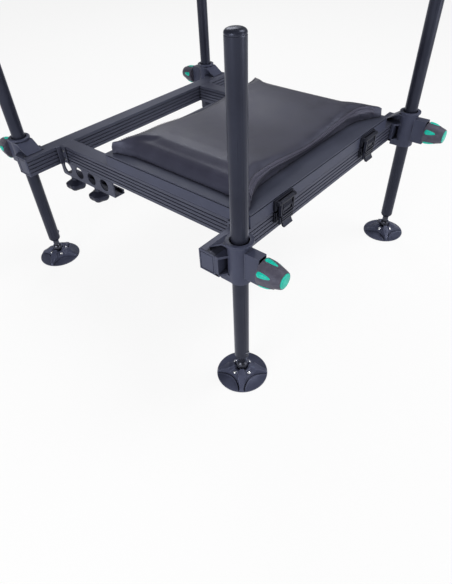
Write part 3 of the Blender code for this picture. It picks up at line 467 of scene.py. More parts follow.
def block_sleeve():
    """Tube of the block with its flat lip and the stepped mouth that the leg runs through."""
    step = SLEEVE_HIGH - MOUTH_DEPTH
    edge = SLEEVE_EDGE
    profile = [(SLEEVE_BORE, SLEEVE_LOW + edge), (SLEEVE_BORE + edge, SLEEVE_LOW),
               (SLEEVE_RADIUS - edge, SLEEVE_LOW), (SLEEVE_RADIUS, SLEEVE_LOW + edge),
               (SLEEVE_RADIUS, LIP_LEVEL)]
    profile += [(LIP_RADIUS - inset * edge, LIP_LEVEL + rise * edge) for inset, rise in LIP_UNDER]
    profile += [(LIP_RADIUS - inset * edge, SLEEVE_HIGH - drop * edge) for inset, drop in LIP_OVER]
    profile += [(MOUTH_RADIUS + edge, SLEEVE_HIGH), (MOUTH_RADIUS, SLEEVE_HIGH - edge), (MOUTH_RADIUS, step),
                (SLEEVE_BORE + edge, step), (SLEEVE_BORE, step - edge)]
    return turned(profile + profile[:1], 64)


def block_hood():
    """Flat skin round the sleeve that bends down onto the rail's top, with a rib under it."""
    bm = bmesh.new()
    bm.from_mesh(prism(round_plan(HOOD_START, HOOD_BEND), HOOD_TOP - HOOD_SKIN, HOOD_TOP))
    face = max(bm.faces, key=lambda item: item.calc_center_median().y)
    for vert in raised(bm, [face], (0, 0, 0)):
        upper = vert.co.z > HOOD_TOP - HOOD_SKIN / 2
        vert.co.y = HOOD_END
        vert.co.z = RAIL_HIGH + (HOOD_TOE if upper else CLEARANCE)
    bmesh.ops.delete(bm, geom=[face], context='FACES_ONLY')
    rib = [(RIB_START, RIB_TOP), (HOOD_BEND, RIB_TOP), RIB_TOE, (RIB_HEEL[0], RIB_TOE[1]), RIB_HEEL,
           (RIB_START, RIB_HEEL[1])]
    return [to_mesh(bm, "hood"), placed(prism(rib, -RIB_HALF, RIB_HALF), ON_SIDE)]


def block_boss():
    """Square boss towards -Y with an open pocket in its end."""
    bm = bmesh.new()
    bm.from_mesh(block((-BOSS_HALF, BOSS_END, BOSS_LOW), (BOSS_HALF, BOSS_ROOT, BOSS_HIGH)))
    face = min(bm.faces, key=lambda item: item.calc_center_median().y)
    bmesh.ops.inset_region(bm, faces=[face], thickness=BOSS_RIM, depth=0.0)
    raised(bm, [face], (0, BOSS_POCKET, 0))
    bmesh.ops.delete(bm, geom=[face], context='FACES_ONLY')
    return to_mesh(bm, "boss")


def leg_block():
    """All forms of one block, leg axis at the origin, rail towards +Y."""
    left = [(-PLATE_HALF, RAIL_SIDE), (-PLATE_HALF, PLATE_BACK), WEB_ROOT]
    web = left + sleeve_arc(WEB_ROOT[1])[::-1] + [(-x, y) for x, y in left[::-1]]
    shapes = [prism(web, low, high) for low, high in WEB_LEVELS]
    shapes.append(block((-PLATE_HALF, PLATE_BACK, RAIL_LOW), (PLATE_HALF, RAIL_SIDE, SHELF_LOW + 0.001)))
    shapes.append(prism(round_plan(HOOD_START, RAIL_SIDE - 0.0005), SLEEVE_LOW + 0.0005, RAIL_LOW + 0.002))
    return shapes + block_hood() + [block_sleeve(), block_boss()]


block_plastic = moulded_finish("glass_filled_nylon", *PLASTIC, roughness=0.44, grain=1100.0, gap=0.007)
for corner, (sign_x, sign_y) in CORNERS.items():
    facing = (turn(0 if sign_y < 0 else 180, 'Z'), shift(sign_x * LEG_X, sign_y * LEG_Y))
    add_piece("block_" + corner, all_placed(leg_block(), *facing), block_plastic, "frame",
              ["leg_block_" + corner], BLOCK_EDGE, 3, 28)
    screws = [placed(socket_screw(*BLOCK_SCREW), shift(x, BLOCK_SCREW_Y, RAIL_HIGH), *facing)
              for x in (-BLOCK_SCREW_X, BLOCK_SCREW_X)]
    add_piece("block_screws_" + corner, screws, black_steel, "frame")

# Legs: 25 mm drawn alloy tubes, black anodised, that slide in the sleeves. A domed plug closes the top. The
# lower end is drawn in to a shoulder round the neck of a polished ball stud, and holds the snap button.
TUBE_RADIUS = 0.0125
TUBE_END = 0.052
TUBE_TOP = 0.552
CROWN = 0.005
BALL_LEVEL = 0.025
BALL_RADIUS = 0.0105
NECK_RADIUS = 0.0065
NECK_TOP = 0.046
CONE_START = 0.044
# Shoulder and plug joint: how far in from the tube's face, and how far below its end or its top
SHOULDER = ((0.0012, 0.0032), (0.0003, 0.0016), (0.0, 0.0002), (0.0003, 0.0), (0.0, -0.0003))
PLUG_JOINT = ((0.0, 0.0022), (0.0005, 0.0016), (0.0005, 0.0010), (0.0, 0.0005))
CROWN_ANGLES = (5, 20, 40, 60, 75, 90)
BUTTON_LEVEL = 0.062
BUTTON_RADIUS = 0.0035
BUTTON_ROOT = 0.0060
BUTTON_TIP = 0.015
# Dome of the button: share of its radius, and how far below its tip
BUTTON_DOME = ((1, 0.0016), (0.9, 0.0008), (0.55, 0.0001), (0, 0))
# Rolled rim of the button's hole: how far from the rim's middle, and how far from the leg's axis
RIM_RADIUS = BUTTON_RADIUS + 0.0009
RIM_SHAPE = ((-0.0006, 0.0110), (-0.0005, 0.0126), (0, 0.0129), (0.0005, 0.0126), (0.0007, 0.0110))
BUTTON_FACES = {"rear_left": -90, "rear_right": 0, "front_left": 0, "front_right": 180}
TUBE_BLACK = ((0.015, 0.016, 0.026), (0.024, 0.026, 0.040))
POLISHED = ((0.038, 0.040, 0.052), (0.066, 0.069, 0.085))
ALONG_Z = (500, 500, 5)


def leg_tube():
    """Shoulder, tube wall, the joint line of the plug and the plug's dome."""
    wall = [(NECK_RADIUS, CONE_START + 0.003), (NECK_RADIUS + 0.0006, CONE_START)]
    wall += [(TUBE_RADIUS - inset, TUBE_END - drop) for inset, drop in SHOULDER]
    wall += [(TUBE_RADIUS - inset, TUBE_TOP - drop) for inset, drop in PLUG_JOINT]
    dome = [(TUBE_RADIUS * math.cos(math.radians(a)) ** 0.6, TUBE_TOP + CROWN * math.sin(math.radians(a)))
            for a in CROWN_ANGLES]
    return turned(wall + dome)


def foot_stud():
    """Ball and neck."""
    start = math.asin(NECK_RADIUS / BALL_RADIUS)
    arc = [math.pi - (math.pi - start) * i / 16 for i in range(17)]
    profile = [(BALL_RADIUS * math.sin(a), BALL_LEVEL + BALL_RADIUS * math.cos(a)) for a in arc]
    return turned(profile + [(NECK_RADIUS, NECK_TOP), (0, NECK_TOP)])


def snap_button():
    """Domed pin along Z."""
    dome = [(BUTTON_RADIUS * share, BUTTON_TIP - drop) for share, drop in BUTTON_DOME]
    return turned([(0, BUTTON_ROOT), (BUTTON_RADIUS, BUTTON_ROOT)] + dome, 24)


tube_finish = anodised_finish("anodised_tube", ALONG_Z, *TUBE_BLACK, smooth=0.26, rough=0.36)
polished = metal_finish("polished_stud", *POLISHED, roughness=0.27, metallic=0.8)
for corner, (sign_x, sign_y) in CORNERS.items():
    axis = shift(sign_x * LEG_X, sign_y * LEG_Y)
    facing = (turn(90, 'Y'), turn(BUTTON_FACES[corner], 'Z'), shift(z=BUTTON_LEVEL), axis)
    hole_rim = turned([(RIM_RADIUS + out, along) for out, along in RIM_SHAPE], 24)
    add_piece("tube_" + corner, [placed(leg_tube(), axis), placed(hole_rim, *facing)], tube_finish,
              "leg_" + corner, ["leg_tube_" + corner])
    add_piece("stud_" + corner, [placed(foot_stud(), axis)], polished, "leg_" + corner,
              ["foot_stud_" + corner])
    add_piece("button_pin_" + corner, [placed(snap_button(), *facing)], black_steel, "button_" + corner,
              ["snap_button_" + corner])

# Feet: round mouldings that snap onto the balls. Four ridges run from the cup to the rim, a dished
# scallop lies between each two, and a bright rivet sits at the head of each scallop.
FOOT_RIM_RADIUS = 0.0454
FOOT_RIM = 0.003
FOOT_RINGS = 84
FOOT_STEPS = 288
HUB_RADIUS = 0.015
HUB_VALLEY = 0.018
HUB_RIDGE = 0.0235
HUB_BEAD = 0.0006
HUB_BEAD_RADII = (0.0118, 0.0138)
SOCKET_RADIUS = 0.0113
SOCKET_SHARES = (0.15, 0.35, 0.55, 0.75, 0.9, 1.0)
VALLEY_FALL = 3.2
RIDGE_FALL = 1.2
FOOT_SWELL = 0.0026
SCALLOP_CENTRE = 0.060
SCALLOP_RADIUS = 0.038
SCALLOP_WALL = 0.0006
SCALLOP_LIP = 0.0010
SCALLOP_LIP_IN = 0.0018
SCALLOP_LIP_WIDTH = 0.0009
SCALLOP_GROOVE = 0.0008
SCALLOP_GROOVE_WIDTH = 0.0007
TREAD_GROOVES = (0.038, 0.030, 0.022, 0.014)
TREAD_DEPTH = 0.0012
FOOT_SWIVEL = {"rear_left": 37, "rear_right": 37, "front_left": 29, "front_right": 33}
RIVET_RADIUS = 0.0034
RIVET_OUT = 0.0175
RIVET_SHAPE = ((0, -0.001), (1, -0.001), (1, 0.0004), (0.86, 0.0013), (0.5, 0.0020), (0, 0.0023))
FOOT_PLASTIC = ((0.050, 0.055, 0.090), (0.068, 0.074, 0.116), (0.190, 0.200, 0.260))
RIVET_STEEL = ((0.62, 0.63, 0.66), (0.80, 0.81, 0.84))


def smooth_step(low, high, value):
    share = min(1.0, max(0.0, (value - low) / (high - low)))
    return share * share * (3 - 2 * share)


def shaped_turning(rows, steps):
    """Spin a column of points, then let each row's rule give its radius and height at every angle."""
    bm = spun([(1.0, float(row)) for row in range(len(rows))], steps)
    for vert in bm.verts:
        angle = math.atan2(vert.co.y, vert.co.x)
        radius, height = rows[round(vert.co.z)](angle)
        vert.co = (radius * math.cos(angle), radius * math.sin(angle), height)
    return to_mesh(bm, "shaped")


def fixed(radius, height):
    """Rule of a row that is the same all round."""
    return lambda angle: (radius, height)


def foot_ridge(angle):
    """1 along the crest of a ridge, 0 in the middle of a scallop."""
    return smooth_step(0.04, 0.45, ((1 + math.cos(4 * angle)) / 2) ** 3)


def foot_height(radius, angle):
    """Top of the foot: the ridges and the dished scallops with their rounded lips."""
    climb = (FOOT_RIM_RADIUS - radius) / (FOOT_RIM_RADIUS - HUB_RADIUS)
    ridge = foot_ridge(angle)
    crown = HUB_VALLEY + (HUB_RIDGE - HUB_VALLEY) * ridge
    valley = max(0.0, climb) ** VALLEY_FALL
    spur = max(0.0, climb) ** RIDGE_FALL
    swell = FOOT_SWELL * smooth_step(0.0, 0.12, climb) * (1 - smooth_step(0.7, 1.0, climb))
    outside = FOOT_RIM + (crown - FOOT_RIM) * (valley + (spur - valley) * ridge) + swell
    dish = FOOT_RIM * 0.85 + (HUB_VALLEY - FOOT_RIM) * valley * 0.5
    quarter = (angle % (math.pi / 2)) - math.pi / 4
    x, y = radius * math.cos(quarter), radius * math.sin(quarter)
    away = math.hypot(x - SCALLOP_CENTRE, y) - SCALLOP_RADIUS
    dish += SCALLOP_LIP * math.exp(-((away + SCALLOP_LIP_IN) / SCALLOP_LIP_WIDTH) ** 2)
    dish -= SCALLOP_GROOVE * math.exp(-(away / SCALLOP_GROOVE_WIDTH) ** 2)
    return dish + (outside - dish) * smooth_step(SCALLOP_WALL / 3, SCALLOP_WALL * 2.4, away)


def foot_rows():
    """Rules from the socket's floor over the crown and the ridges, round the rim and along the tread."""
    def on_socket(share):
        def rule(angle):
            crown = foot_height(HUB_RADIUS, angle) - BALL_LEVEL
            a = math.pi - (math.pi - math.acos(crown / SOCKET_RADIUS)) * share
            return SOCKET_RADIUS * math.sin(a), BALL_LEVEL + SOCKET_RADIUS * math.cos(a)
        return rule

    def on_top(radius, level_with=None, rise=0.0):
        return lambda angle: (radius, foot_height(level_with or radius, angle) + rise)

    rows = [fixed(0.0, BALL_LEVEL - SOCKET_RADIUS)] + [on_socket(share) for share in SOCKET_SHARES]
    rows += [on_top(radius, HUB_RADIUS, HUB_BEAD) for radius in HUB_BEAD_RADII]
    slope = FOOT_RIM_RADIUS - 0.0008 - HUB_RADIUS
    rows += [on_top(HUB_RADIUS + slope * i / FOOT_RINGS) for i in range(FOOT_RINGS + 1)]
    rows += [fixed(FOOT_RIM_RADIUS - 0.0002, FOOT_RIM * 0.8), fixed(FOOT_RIM_RADIUS, FOOT_RIM * 0.5),
             fixed(FOOT_RIM_RADIUS - 0.0004, FOOT_RIM * 0.16), fixed(FOOT_RIM_RADIUS - 0.0012, 0.0)]
    for groove in TREAD_GROOVES:
        rows += [fixed(groove + 0.001, 0.0), fixed(groove + 0.0005, TREAD_DEPTH),
                 fixed(groove - 0.0005, TREAD_DEPTH), fixed(groove - 0.001, 0.0)]
    return rows + [fixed(0.0, 0.0)]


foot_finish = moulded_finish("foot_moulding", *FOOT_PLASTIC, roughness=0.40, gap=0.008)
rivet_steel = metal_finish("bright_rivet", *RIVET_STEEL, roughness=0.2)
for corner, (sign_x, sign_y) in CORNERS.items():
    axis = shift(sign_x * LEG_X, sign_y * LEG_Y)
    swivel = FOOT_SWIVEL[corner]
    moulding = placed(shaped_turning(foot_rows(), FOOT_STEPS), turn(swivel, 'Z'), axis)
    add_piece("foot_plate_" + corner, [moulding], foot_finish, "foot_" + corner,
              ["foot_" + corner], crease=60)
    rivets = []
    for degrees in (45, 135, 225, 315):
        angle = math.radians(degrees)
        level = foot_height(RIVET_OUT, angle)
        slope = math.degrees(math.atan2(foot_height(RIVET_OUT - 0.001, angle) - level, 0.001))
        head = turned([(RIVET_RADIUS * share, height) for share, height in RIVET_SHAPE], 24)
        rivets.append(placed(head, turn(min(slope, 40), 'Y'), shift(RIVET_OUT, 0, level),
                             turn(degrees + swivel, 'Z'), axis))
    add_piece("foot_rivets_" + corner, rivets, rivet_steel, "foot_" + corner)

# Lock knobs: dark rubbery barrels over a green core. The core shows as five drop-shaped grips in windows
# of the barrel and as the disc on its tip; a stud in the barrel presses a nylon pad on the leg.
KNOB_LEVEL = 0.2615
KNOB_BASE = 0.041
KNOB_LENGTH = 0.037
KNOB_BASE_RADIUS = 0.020
KNOB_TIP_RADIUS = 0.013
KNOB_STRAIGHT = 0.15
KNOB_TAPER = 1.5
GRIPS = 5
GRIP_TURN = -24
GRIP_COLUMNS = 20
GRIP_EDGE = 0.4
GRIP_HALF_WIDTH = 0.0061
GRIP_RISE = 0.0032
GRIP_SUNK = 0.0010
GRIP_SKIN = 0.0008
# Window of a grip: distance from the knob's base and share of the half width
GRIP_SHAPE = ((0.0016, 0.34), (0.0022, 0.62), (0.0034, 0.86), (0.0058, 1.0), (0.0092, 0.97), (0.0132, 0.84),
              (0.0172, 0.68), (0.0210, 0.52), (0.0244, 0.36), (0.0264, 0.23), (0.0273, 0.12))
WINDOW_WALL = 0.0005
WINDOW_DEPTH = 0.0009
# Column spacing past the windows: share of the half width that it opens to, and over what distance
PAST_WINDOW = (0.9, 0.008)
# Barrel's stud and base, its rows before and after the windows, and its hollow tip: distance and radius
BARREL_BASE = ((-0.0225, 0.0), (-0.0225, 0.005), (0.0, 0.005), (0.0, 0.0178), (0.0004, 0.0192))
BARREL_START = 0.0010
BARREL_LANDS = (0.0292, 0.0312, 0.0334, 0.0352)
BARREL_TIP = ((0.0364, 0.0129), (0.0370, 0.0124), (0.0368, 0.0119), (0.0355, 0.0118), (0.0355, 0.0))
# Disc in the tip with a faint ring pressed in it: radius, and height above the tip
DISC_SHAPE = ((0, -0.0012), (0.0116, -0.0012), (0.0116, 0.0001), (0.0112, 0.0005), (0.0098, 0.0007),
              (0.0094, 0.0005), (0.0090, 0.0007), (0.0050, 0.0008), (0, 0.0008))
BARREL_RUBBER = ((0.060, 0.056, 0.078), (0.082, 0.077, 0.104))
GREEN_RUBBER = ((0.005, 0.46, 0.345), (0.008, 0.56, 0.425))
NYLON = ((0.03, 0.03, 0.03), (0.05, 0.05, 0.05), (0.1, 0.1, 0.1))


def barrel_radius(along):
    share = max(0.0, along / KNOB_LENGTH - KNOB_STRAIGHT) / (1 - KNOB_STRAIGHT)
    return KNOB_BASE_RADIUS - (KNOB_BASE_RADIUS - KNOB_TIP_RADIUS) * share ** KNOB_TAPER


def grip_width(along):
    """Half width of a grip's window at a distance from the knob's base."""
    for (start, first), (end, second) in zip(GRIP_SHAPE, GRIP_SHAPE[1:]):
        if along <= end:
            return (first + (second - first) * max(0.0, along - start) / (end - start)) * GRIP_HALF_WIDTH
    end, last = GRIP_SHAPE[-1]
    opened, distance = PAST_WINDOW
    return (last + (opened - last) * smooth_step(end, end + distance, along)) * GRIP_HALF_WIDTH


def barrel_rows():
    """(distance from the base, radius, bends round the windows) along the barrel."""
    bent = [BARREL_START] + [along for along, share in GRIP_SHAPE] + list(BARREL_LANDS)
    return ([(*spot, False) for spot in BARREL_BASE] + [(along, barrel_radius(along), True) for along in bent]
            + [(*spot, False) for spot in BARREL_TIP])


def barrel_grid(lift):
    """Barrel whose columns bend round the windows; lift raises a spot by its place in its window."""
    rows = barrel_rows()
    columns = GRIPS * GRIP_COLUMNS
    sector = math.pi / GRIPS
    bm = spun([(1.0, float(row)) for row in range(len(rows))], columns)
    spots = {}
    for vert in bm.verts:
        column = round(math.atan2(vert.co.y, vert.co.x) / sector * GRIP_COLUMNS / 2) % columns
        across = (column % GRIP_COLUMNS) / (GRIP_COLUMNS / 2) - 1
        spots[vert] = (*rows[round(vert.co.z)], across, (column // GRIP_COLUMNS * 2 + 1) * sector)

    def in_window(vert):
        along, radius, bends, across, middle = spots[vert]
        return bends and abs(across) <= GRIP_EDGE + 1e-6 and GRIP_SHAPE[0][0] <= along <= GRIP_SHAPE[-1][0]

    windows = [face for face in bm.faces if all(in_window(vert) for vert in face.verts)]
    for vert, (along, radius, bends, across, middle) in spots.items():
        angle = across * sector
        if bends:
            half = math.asin(min(0.95, grip_width(along) / radius))
            share = abs(across)
            bent = half * share / GRIP_EDGE
            if share > GRIP_EDGE:
                bent = half + (sector - half) * (share - GRIP_EDGE) / (1 - GRIP_EDGE)
            angle = math.copysign(bent, across)
            radius += lift(along, across)
        vert.co = (radius * math.cos(middle + angle), radius * math.sin(middle + angle), KNOB_BASE + along)
    return bm, windows


def knob_barrel():
    """Barrel with a sunk window for every grip."""
    bm, windows = barrel_grid(lambda along, across: 0.0)
    bmesh.ops.recalc_face_normals(bm, faces=bm.faces)
    bmesh.ops.inset_region(bm, faces=windows, thickness=WINDOW_WALL, depth=-WINDOW_DEPTH,
                           use_even_offset=True)
    return to_mesh(bm, "barrel")


def grip_swell(along, across):
    """How far a grip stands out of its window."""
    span = min(1.0, abs(across) / GRIP_EDGE)
    run = min(1.0, max(0.0, (along - GRIP_SHAPE[0][0]) / (GRIP_SHAPE[-1][0] - GRIP_SHAPE[0][0])))
    length = min(1.0, run / 0.10) ** 0.5 * min(1.0, (1 - run) / 0.35) ** 0.6
    return GRIP_RISE * (1 - span ** 2.6) * length - GRIP_SUNK


def knob_grips():
    """The parts of the core that swell out through the windows."""
    bm, windows = barrel_grid(grip_swell)
    keep = set(windows)
    bmesh.ops.delete(bm, geom=[face for face in bm.faces if face not in keep], context='FACES')
    bmesh.ops.recalc_face_normals(bm, faces=bm.faces)
    outward = sum(face.normal.dot(face.calc_center_median() * Vector((1, 1, 0))) for face in bm.faces)
    if outward < 0:
        bmesh.ops.reverse_faces(bm, faces=bm.faces)
    bmesh.ops.solidify(bm, geom=bm.faces[:], thickness=GRIP_SKIN)
    return as_mesh(bm, "grips")


def rubber_finish(name, dark, pale, roughness, sheen):
    """Soft-touch rubber: even colour with slight mottling and a powdery sheen."""
    finish, tree, shader = new_finish(name)
    mottle = texture(tree, "TexNoise", 160.0, Detail=4.0)
    grains = texture(tree, "TexNoise", 2200.0, Detail=1.0)
    paint(tree, shader, ramp(tree, mottle, dark, pale),
          ramp(tree, mottle, roughness + 0.06, roughness - 0.06), grains, strength=0.2, depth=0.0001)
    feed(tree, shader.inputs["Sheen Weight"], sheen)
    return finish


barrel_rubber = rubber_finish("barrel_rubber", *BARREL_RUBBER, roughness=0.5, sheen=0.08)
green = rubber_finish("green_rubber", *GREEN_RUBBER, roughness=0.36, sheen=0.0)
nylon = moulded_finish("clamp_nylon", *NYLON, roughness=0.5)
for corner, (sign_x, sign_y) in CORNERS.items():
    facing = (turn(90, 'X'), turn(0 if sign_y < 0 else 180, 'Z'),
              shift(sign_x * LEG_X, sign_y * LEG_Y, KNOB_LEVEL))
    roll = turn(GRIP_TURN, 'Z')
    disc = turned([(radius, KNOB_BASE + KNOB_LENGTH + rise) for radius, rise in DISC_SHAPE], 60)
    add_piece("knob_barrel_" + corner, [placed(knob_barrel(), roll, *facing)], barrel_rubber,
              "knob_" + corner, ["lock_knob_" + corner], crease=50)
    add_piece("knob_green_" + corner, [placed(knob_grips(), roll, *facing), placed(disc, *facing)], green,
              "knob_" + corner, ["knob_core_" + corner], crease=50)
    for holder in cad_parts["clamp_pad_" + corner].material_slots:
        holder.material = nylon

# Seat ring: a moulded tray frame that stands on the rails and carries the seat board. A small rebate round
# its upper edge makes the joint line below the board.
RING_LOW = 0.2733
RING_HIGH = 0.2940
RING_WALL = 0.030
RING_EDGE = 0.0004
REBATE = 0.0018
REBATE_LEVEL = RING_HIGH - 0.0008
REBATE_ROOT = RING_HIGH - 0.0012


def seat_plan(inset=0.0):
    """Outline of the seat, or a rectangle that far inside it."""
    side, rear, front = SIDE_FACE - inset, inset - CROSS_FACE, SEAT_FRONT - inset
    return [(side, rear), (side, front), (-side, front), (-side, rear)]


add_piece("ring", [prism(seat_plan(), RING_LOW, REBATE_LEVEL, [seat_plan(RING_WALL)]),
                   prism(seat_plan(REBATE), REBATE_ROOT, RING_HIGH, [seat_plan(RING_WALL)])],
          plastic, "frame", ["seat_ring"], RING_EDGE)

# Latch hinges and catches: black mouldings screwed to the ring and to the rear rail. A hinge has two ears
# with a pin between them, and a catch has a lip that the lever's hook goes under.
LATCH_X = 0.139
LATCH_LEVEL = 0.2880
LATCH_HALF = 0.023
LATCH_OUT = 0.008
LATCH_ROOT = 0.001
# The near-black pads of hinges and catches reach wider than the ears: partly the black moulding, partly
# painted shadow round the lever
HINGE_PAD_HALF = 0.0250
HINGE_PAD_THICK = 0.004
HINGE_PAD_IN = 0.0012
HINGE_EDGE = 0.0005
EAR_WIDTH = 0.004
EAR_RADIUS = 0.0036
# End of the pin: radius, and how far past the ears
PIN_END = ((0.0020, -0.0002), (0.0017, 0.0004), (0, 0.0004))
CATCH_LOW = -0.03475
CATCH_HIGH = -0.01675
CATCH_THICK = 0.0022
CATCH_LIP = (-0.0275, -0.0240)
CATCH_LIP_REACH = 0.0055
CATCH_CHEEK = 0.0035
CATCH_CHEEK_REACH = 0.0045
CATCH_EDGE = 0.0004
LATCH_BLACK = ((0.009, 0.0095, 0.015), (0.016, 0.017, 0.025), (0.05, 0.053, 0.07))
LATCH_FACING = {corner: (turn(180 if sign_y < 0 else 0, 'Z'),
                         shift(sign_x * LATCH_X, -CROSS_FACE if sign_y < 0 else SEAT_FRONT, LATCH_LEVEL))
                for corner, (sign_x, sign_y) in CORNERS.items()}


def both_ways(profile):
    """A profile with its mirror image below z = 0."""
    return [(radius, -height) for radius, height in profile[::-1]] + profile


def ear_outline():
    """Side view of an ear, out and up: square at the ring, round about the pin."""
    arc = [math.radians(-90 + 180 * i / 10) for i in range(11)]
    nose = [(LATCH_OUT + EAR_RADIUS * math.cos(a), EAR_RADIUS * math.sin(a)) for a in arc]
    return [(-LATCH_ROOT, -EAR_RADIUS)] + nose + [(-LATCH_ROOT, EAR_RADIUS)]


def latch_hinge():
    """Pad, ears and pin; outwards is +Y and z = 0 is the pin."""
    shapes = [block((-HINGE_PAD_HALF, -LATCH_ROOT, RING_LOW + HINGE_PAD_IN - LATCH_LEVEL),
                    (HINGE_PAD_HALF, HINGE_PAD_THICK, RING_HIGH - HINGE_PAD_IN - LATCH_LEVEL))]
    for edge in (-LATCH_HALF, LATCH_HALF - EAR_WIDTH):
        shapes.append(placed(prism(ear_outline(), edge, edge + EAR_WIDTH), ON_SIDE))
    pin = turned(both_ways([(radius, LATCH_HALF + past) for radius, past in PIN_END]), 20)
    return shapes + [placed(pin, turn(90, 'Y'), shift(y=LATCH_OUT))]


def latch_catch():
    """Plate with its lip and two cheeks; outwards is +Y and z = 0 is the pin's level."""
    return [block((-HINGE_PAD_HALF, CLEARANCE, CATCH_LOW), (HINGE_PAD_HALF, CATCH_THICK, CATCH_HIGH)),
            block((-LATCH_HALF, LATCH_ROOT, CATCH_LIP[0]), (LATCH_HALF, CATCH_LIP_REACH, CATCH_LIP[1])),
            *(block((edge, LATCH_ROOT, CATCH_LOW), (edge + CATCH_CHEEK, CATCH_CHEEK_REACH, CATCH_HIGH))
              for edge in (-LATCH_HALF, LATCH_HALF - CATCH_CHEEK))]


latch_black = moulded_finish("latch_black", *LATCH_BLACK, roughness=0.5, edge=0.0004, gap=0.006)
for corner, facing in LATCH_FACING.items():
    add_piece("hinge_" + corner, all_placed(latch_hinge(), *facing), latch_black, "frame",
              rounding=HINGE_EDGE)
    if corner.startswith("rear"):
        add_piece("catch_" + corner, all_placed(latch_catch(), *facing), latch_black, "frame",
                  ["latch_catch_" + corner], CATCH_EDGE)

# Latch levers: moulded snap levers that hang on the pins. A ribbed plate and a framed window lie between
# two cheeks; below a dark slot come the ribbed thumb band and a flared tab, with the hook behind them.
LEVER_HALF = 0.0185
LEVER_BACK = -0.0022
LEVER_EDGE = 0.00045
# Bars across the lever: half width, top, bottom and face, and for the hook and the ribs also the back
LEVER_PLATE = (0.0120, -0.0034, -0.0115, 0.0020)
LEVER_PANEL = (0.0096, -0.0142, -0.0186, 0.0016)
LEVER_BAND = (0.0156, -0.0252, -0.0400, 0.0012)
LEVER_HOOK = (0.0120, -0.0278, -0.0318, 0.0, LEVER_BACK - 0.0024)
LEVER_WEB = (LEVER_HALF - 0.0004, -0.0025, -0.0390, -0.0008)
THUMB_RIBS = [(0.0156, level, level - 0.0026, 0.0030, 0.0) for level in (-0.0254, -0.0298, -0.0342)]
# Pairs of side bars: inner and outer edge, top, bottom and face
LEVER_CHEEKS = (0.0152, LEVER_HALF, -0.0022, -0.0235, 0.0030)
LEVER_LUGS = (0.0166, LEVER_HALF, -0.0262, -0.0395, 0.0018)
FRAME_HALF = 0.0132
FRAME_TOP = -0.0112
FRAME_BOTTOM = -0.0215
FRAME_BORDER = 0.0018
FRAME_FACE = 0.0030
PLATE_RIBS = [0.0022 * i for i in range(-5, 6)]
PLATE_RIB_HALF = 0.0004
PLATE_RIB_LOW = (0.001, -0.0105)
PLATE_RIB_HIGH = (0.0025, -0.0042)
TAB_HALF = 0.0120
TAB_OUTLINE = ((-0.0022, -0.0362), (0.0022, -0.0362), (0.0034, -0.0405), (0.0062, -0.0455), (0.0056, -0.0460),
               (0.0018, -0.0460), (-0.0012, -0.0410))
# End of the barrel on the pin: radius, and how far from the lever's side
CORE_END = ((EAR_RADIUS, -0.0004), (0.0032, 0.0), (0.0021, 0.0))
CORE_EDGE = 0.0003
LEVER_PLASTIC = ((0.014, 0.015, 0.025), (0.024, 0.026, 0.041), (0.090, 0.095, 0.125))


def lever_bar(half, top, bottom, face, back=LEVER_BACK):
    return block((-half, back, bottom), (half, face, top))


def side_bars(inner, outer, top, bottom, face):
    return [block((low, LEVER_BACK, bottom), (high, face, top))
            for low, high in ((-outer, -inner), (inner, outer))]


def latch_lever():
    """The lever's forms; outwards is +Y and z = 0 is the pin."""
    bars = [LEVER_PLATE, LEVER_PANEL, LEVER_BAND, LEVER_HOOK, *THUMB_RIBS,
            (FRAME_HALF, FRAME_TOP, FRAME_TOP - FRAME_BORDER, FRAME_FACE),
            (FRAME_HALF, FRAME_BOTTOM + FRAME_BORDER, FRAME_BOTTOM, FRAME_FACE)]
    shapes = [lever_bar(*bar) for bar in bars]
    shapes += side_bars(FRAME_HALF - FRAME_BORDER, FRAME_HALF, FRAME_TOP, FRAME_BOTTOM, FRAME_FACE)
    shapes += side_bars(*LEVER_CHEEKS) + side_bars(*LEVER_LUGS)
    shapes += [block((x - PLATE_RIB_HALF, *PLATE_RIB_LOW), (x + PLATE_RIB_HALF, *PLATE_RIB_HIGH))
               for x in PLATE_RIBS]
    return shapes + [placed(prism(TAB_OUTLINE, -TAB_HALF, TAB_HALF), ON_SIDE)]


def lever_core():
    """Black core of the lever: the barrel on the pin and the web behind the slots."""
    profile = both_ways([(radius, LEVER_HALF + past) for radius, past in CORE_END])
    return [placed(turned(profile + profile[:1], 28), turn(90, 'Y')), lever_bar(*LEVER_WEB)]


lever_plastic = moulded_finish("lever_plastic", *LEVER_PLASTIC, roughness=0.42, grain=1800.0, edge=0.0004,
                               gap=0.006)
for corner, facing in LATCH_FACING.items():
    hung = (shift(y=LATCH_OUT), *facing)
    add_piece("lever_" + corner, all_placed(latch_lever(), *hung), lever_plastic, "latch_" + corner,
              ["latch_lever_" + corner], LEVER_EDGE)
    add_piece("lever_core_" + corner, all_placed(lever_core(), *hung), latch_black, "latch_" + corner,
              rounding=CORE_EDGE)

# Seat board: a flat moulded lid on the ring; the cushion leaves a bare rim of it showing all round.
BOARD_LOW = 0.2943
BOARD_STEP = BOARD_LOW + 0.0007
BOARD_ROOT = BOARD_LOW + 0.0010
BOARD_HIGH = 0.2973
BOARD_EDGE = 0.0005
BOARD_PLASTIC = ((0.046, 0.050, 0.074), (0.058, 0.063, 0.092), (0.100, 0.106, 0.145))
board_plastic = moulded_finish("board_plastic", *BOARD_PLASTIC, roughness=0.52, grain=1300.0)
board_forms = [prism(seat_plan(), BOARD_STEP, BOARD_HIGH), prism(seat_plan(REBATE), BOARD_LOW, BOARD_ROOT)]
add_piece("board", board_forms, board_plastic, "frame", ["seat_board"], BOARD_EDGE)

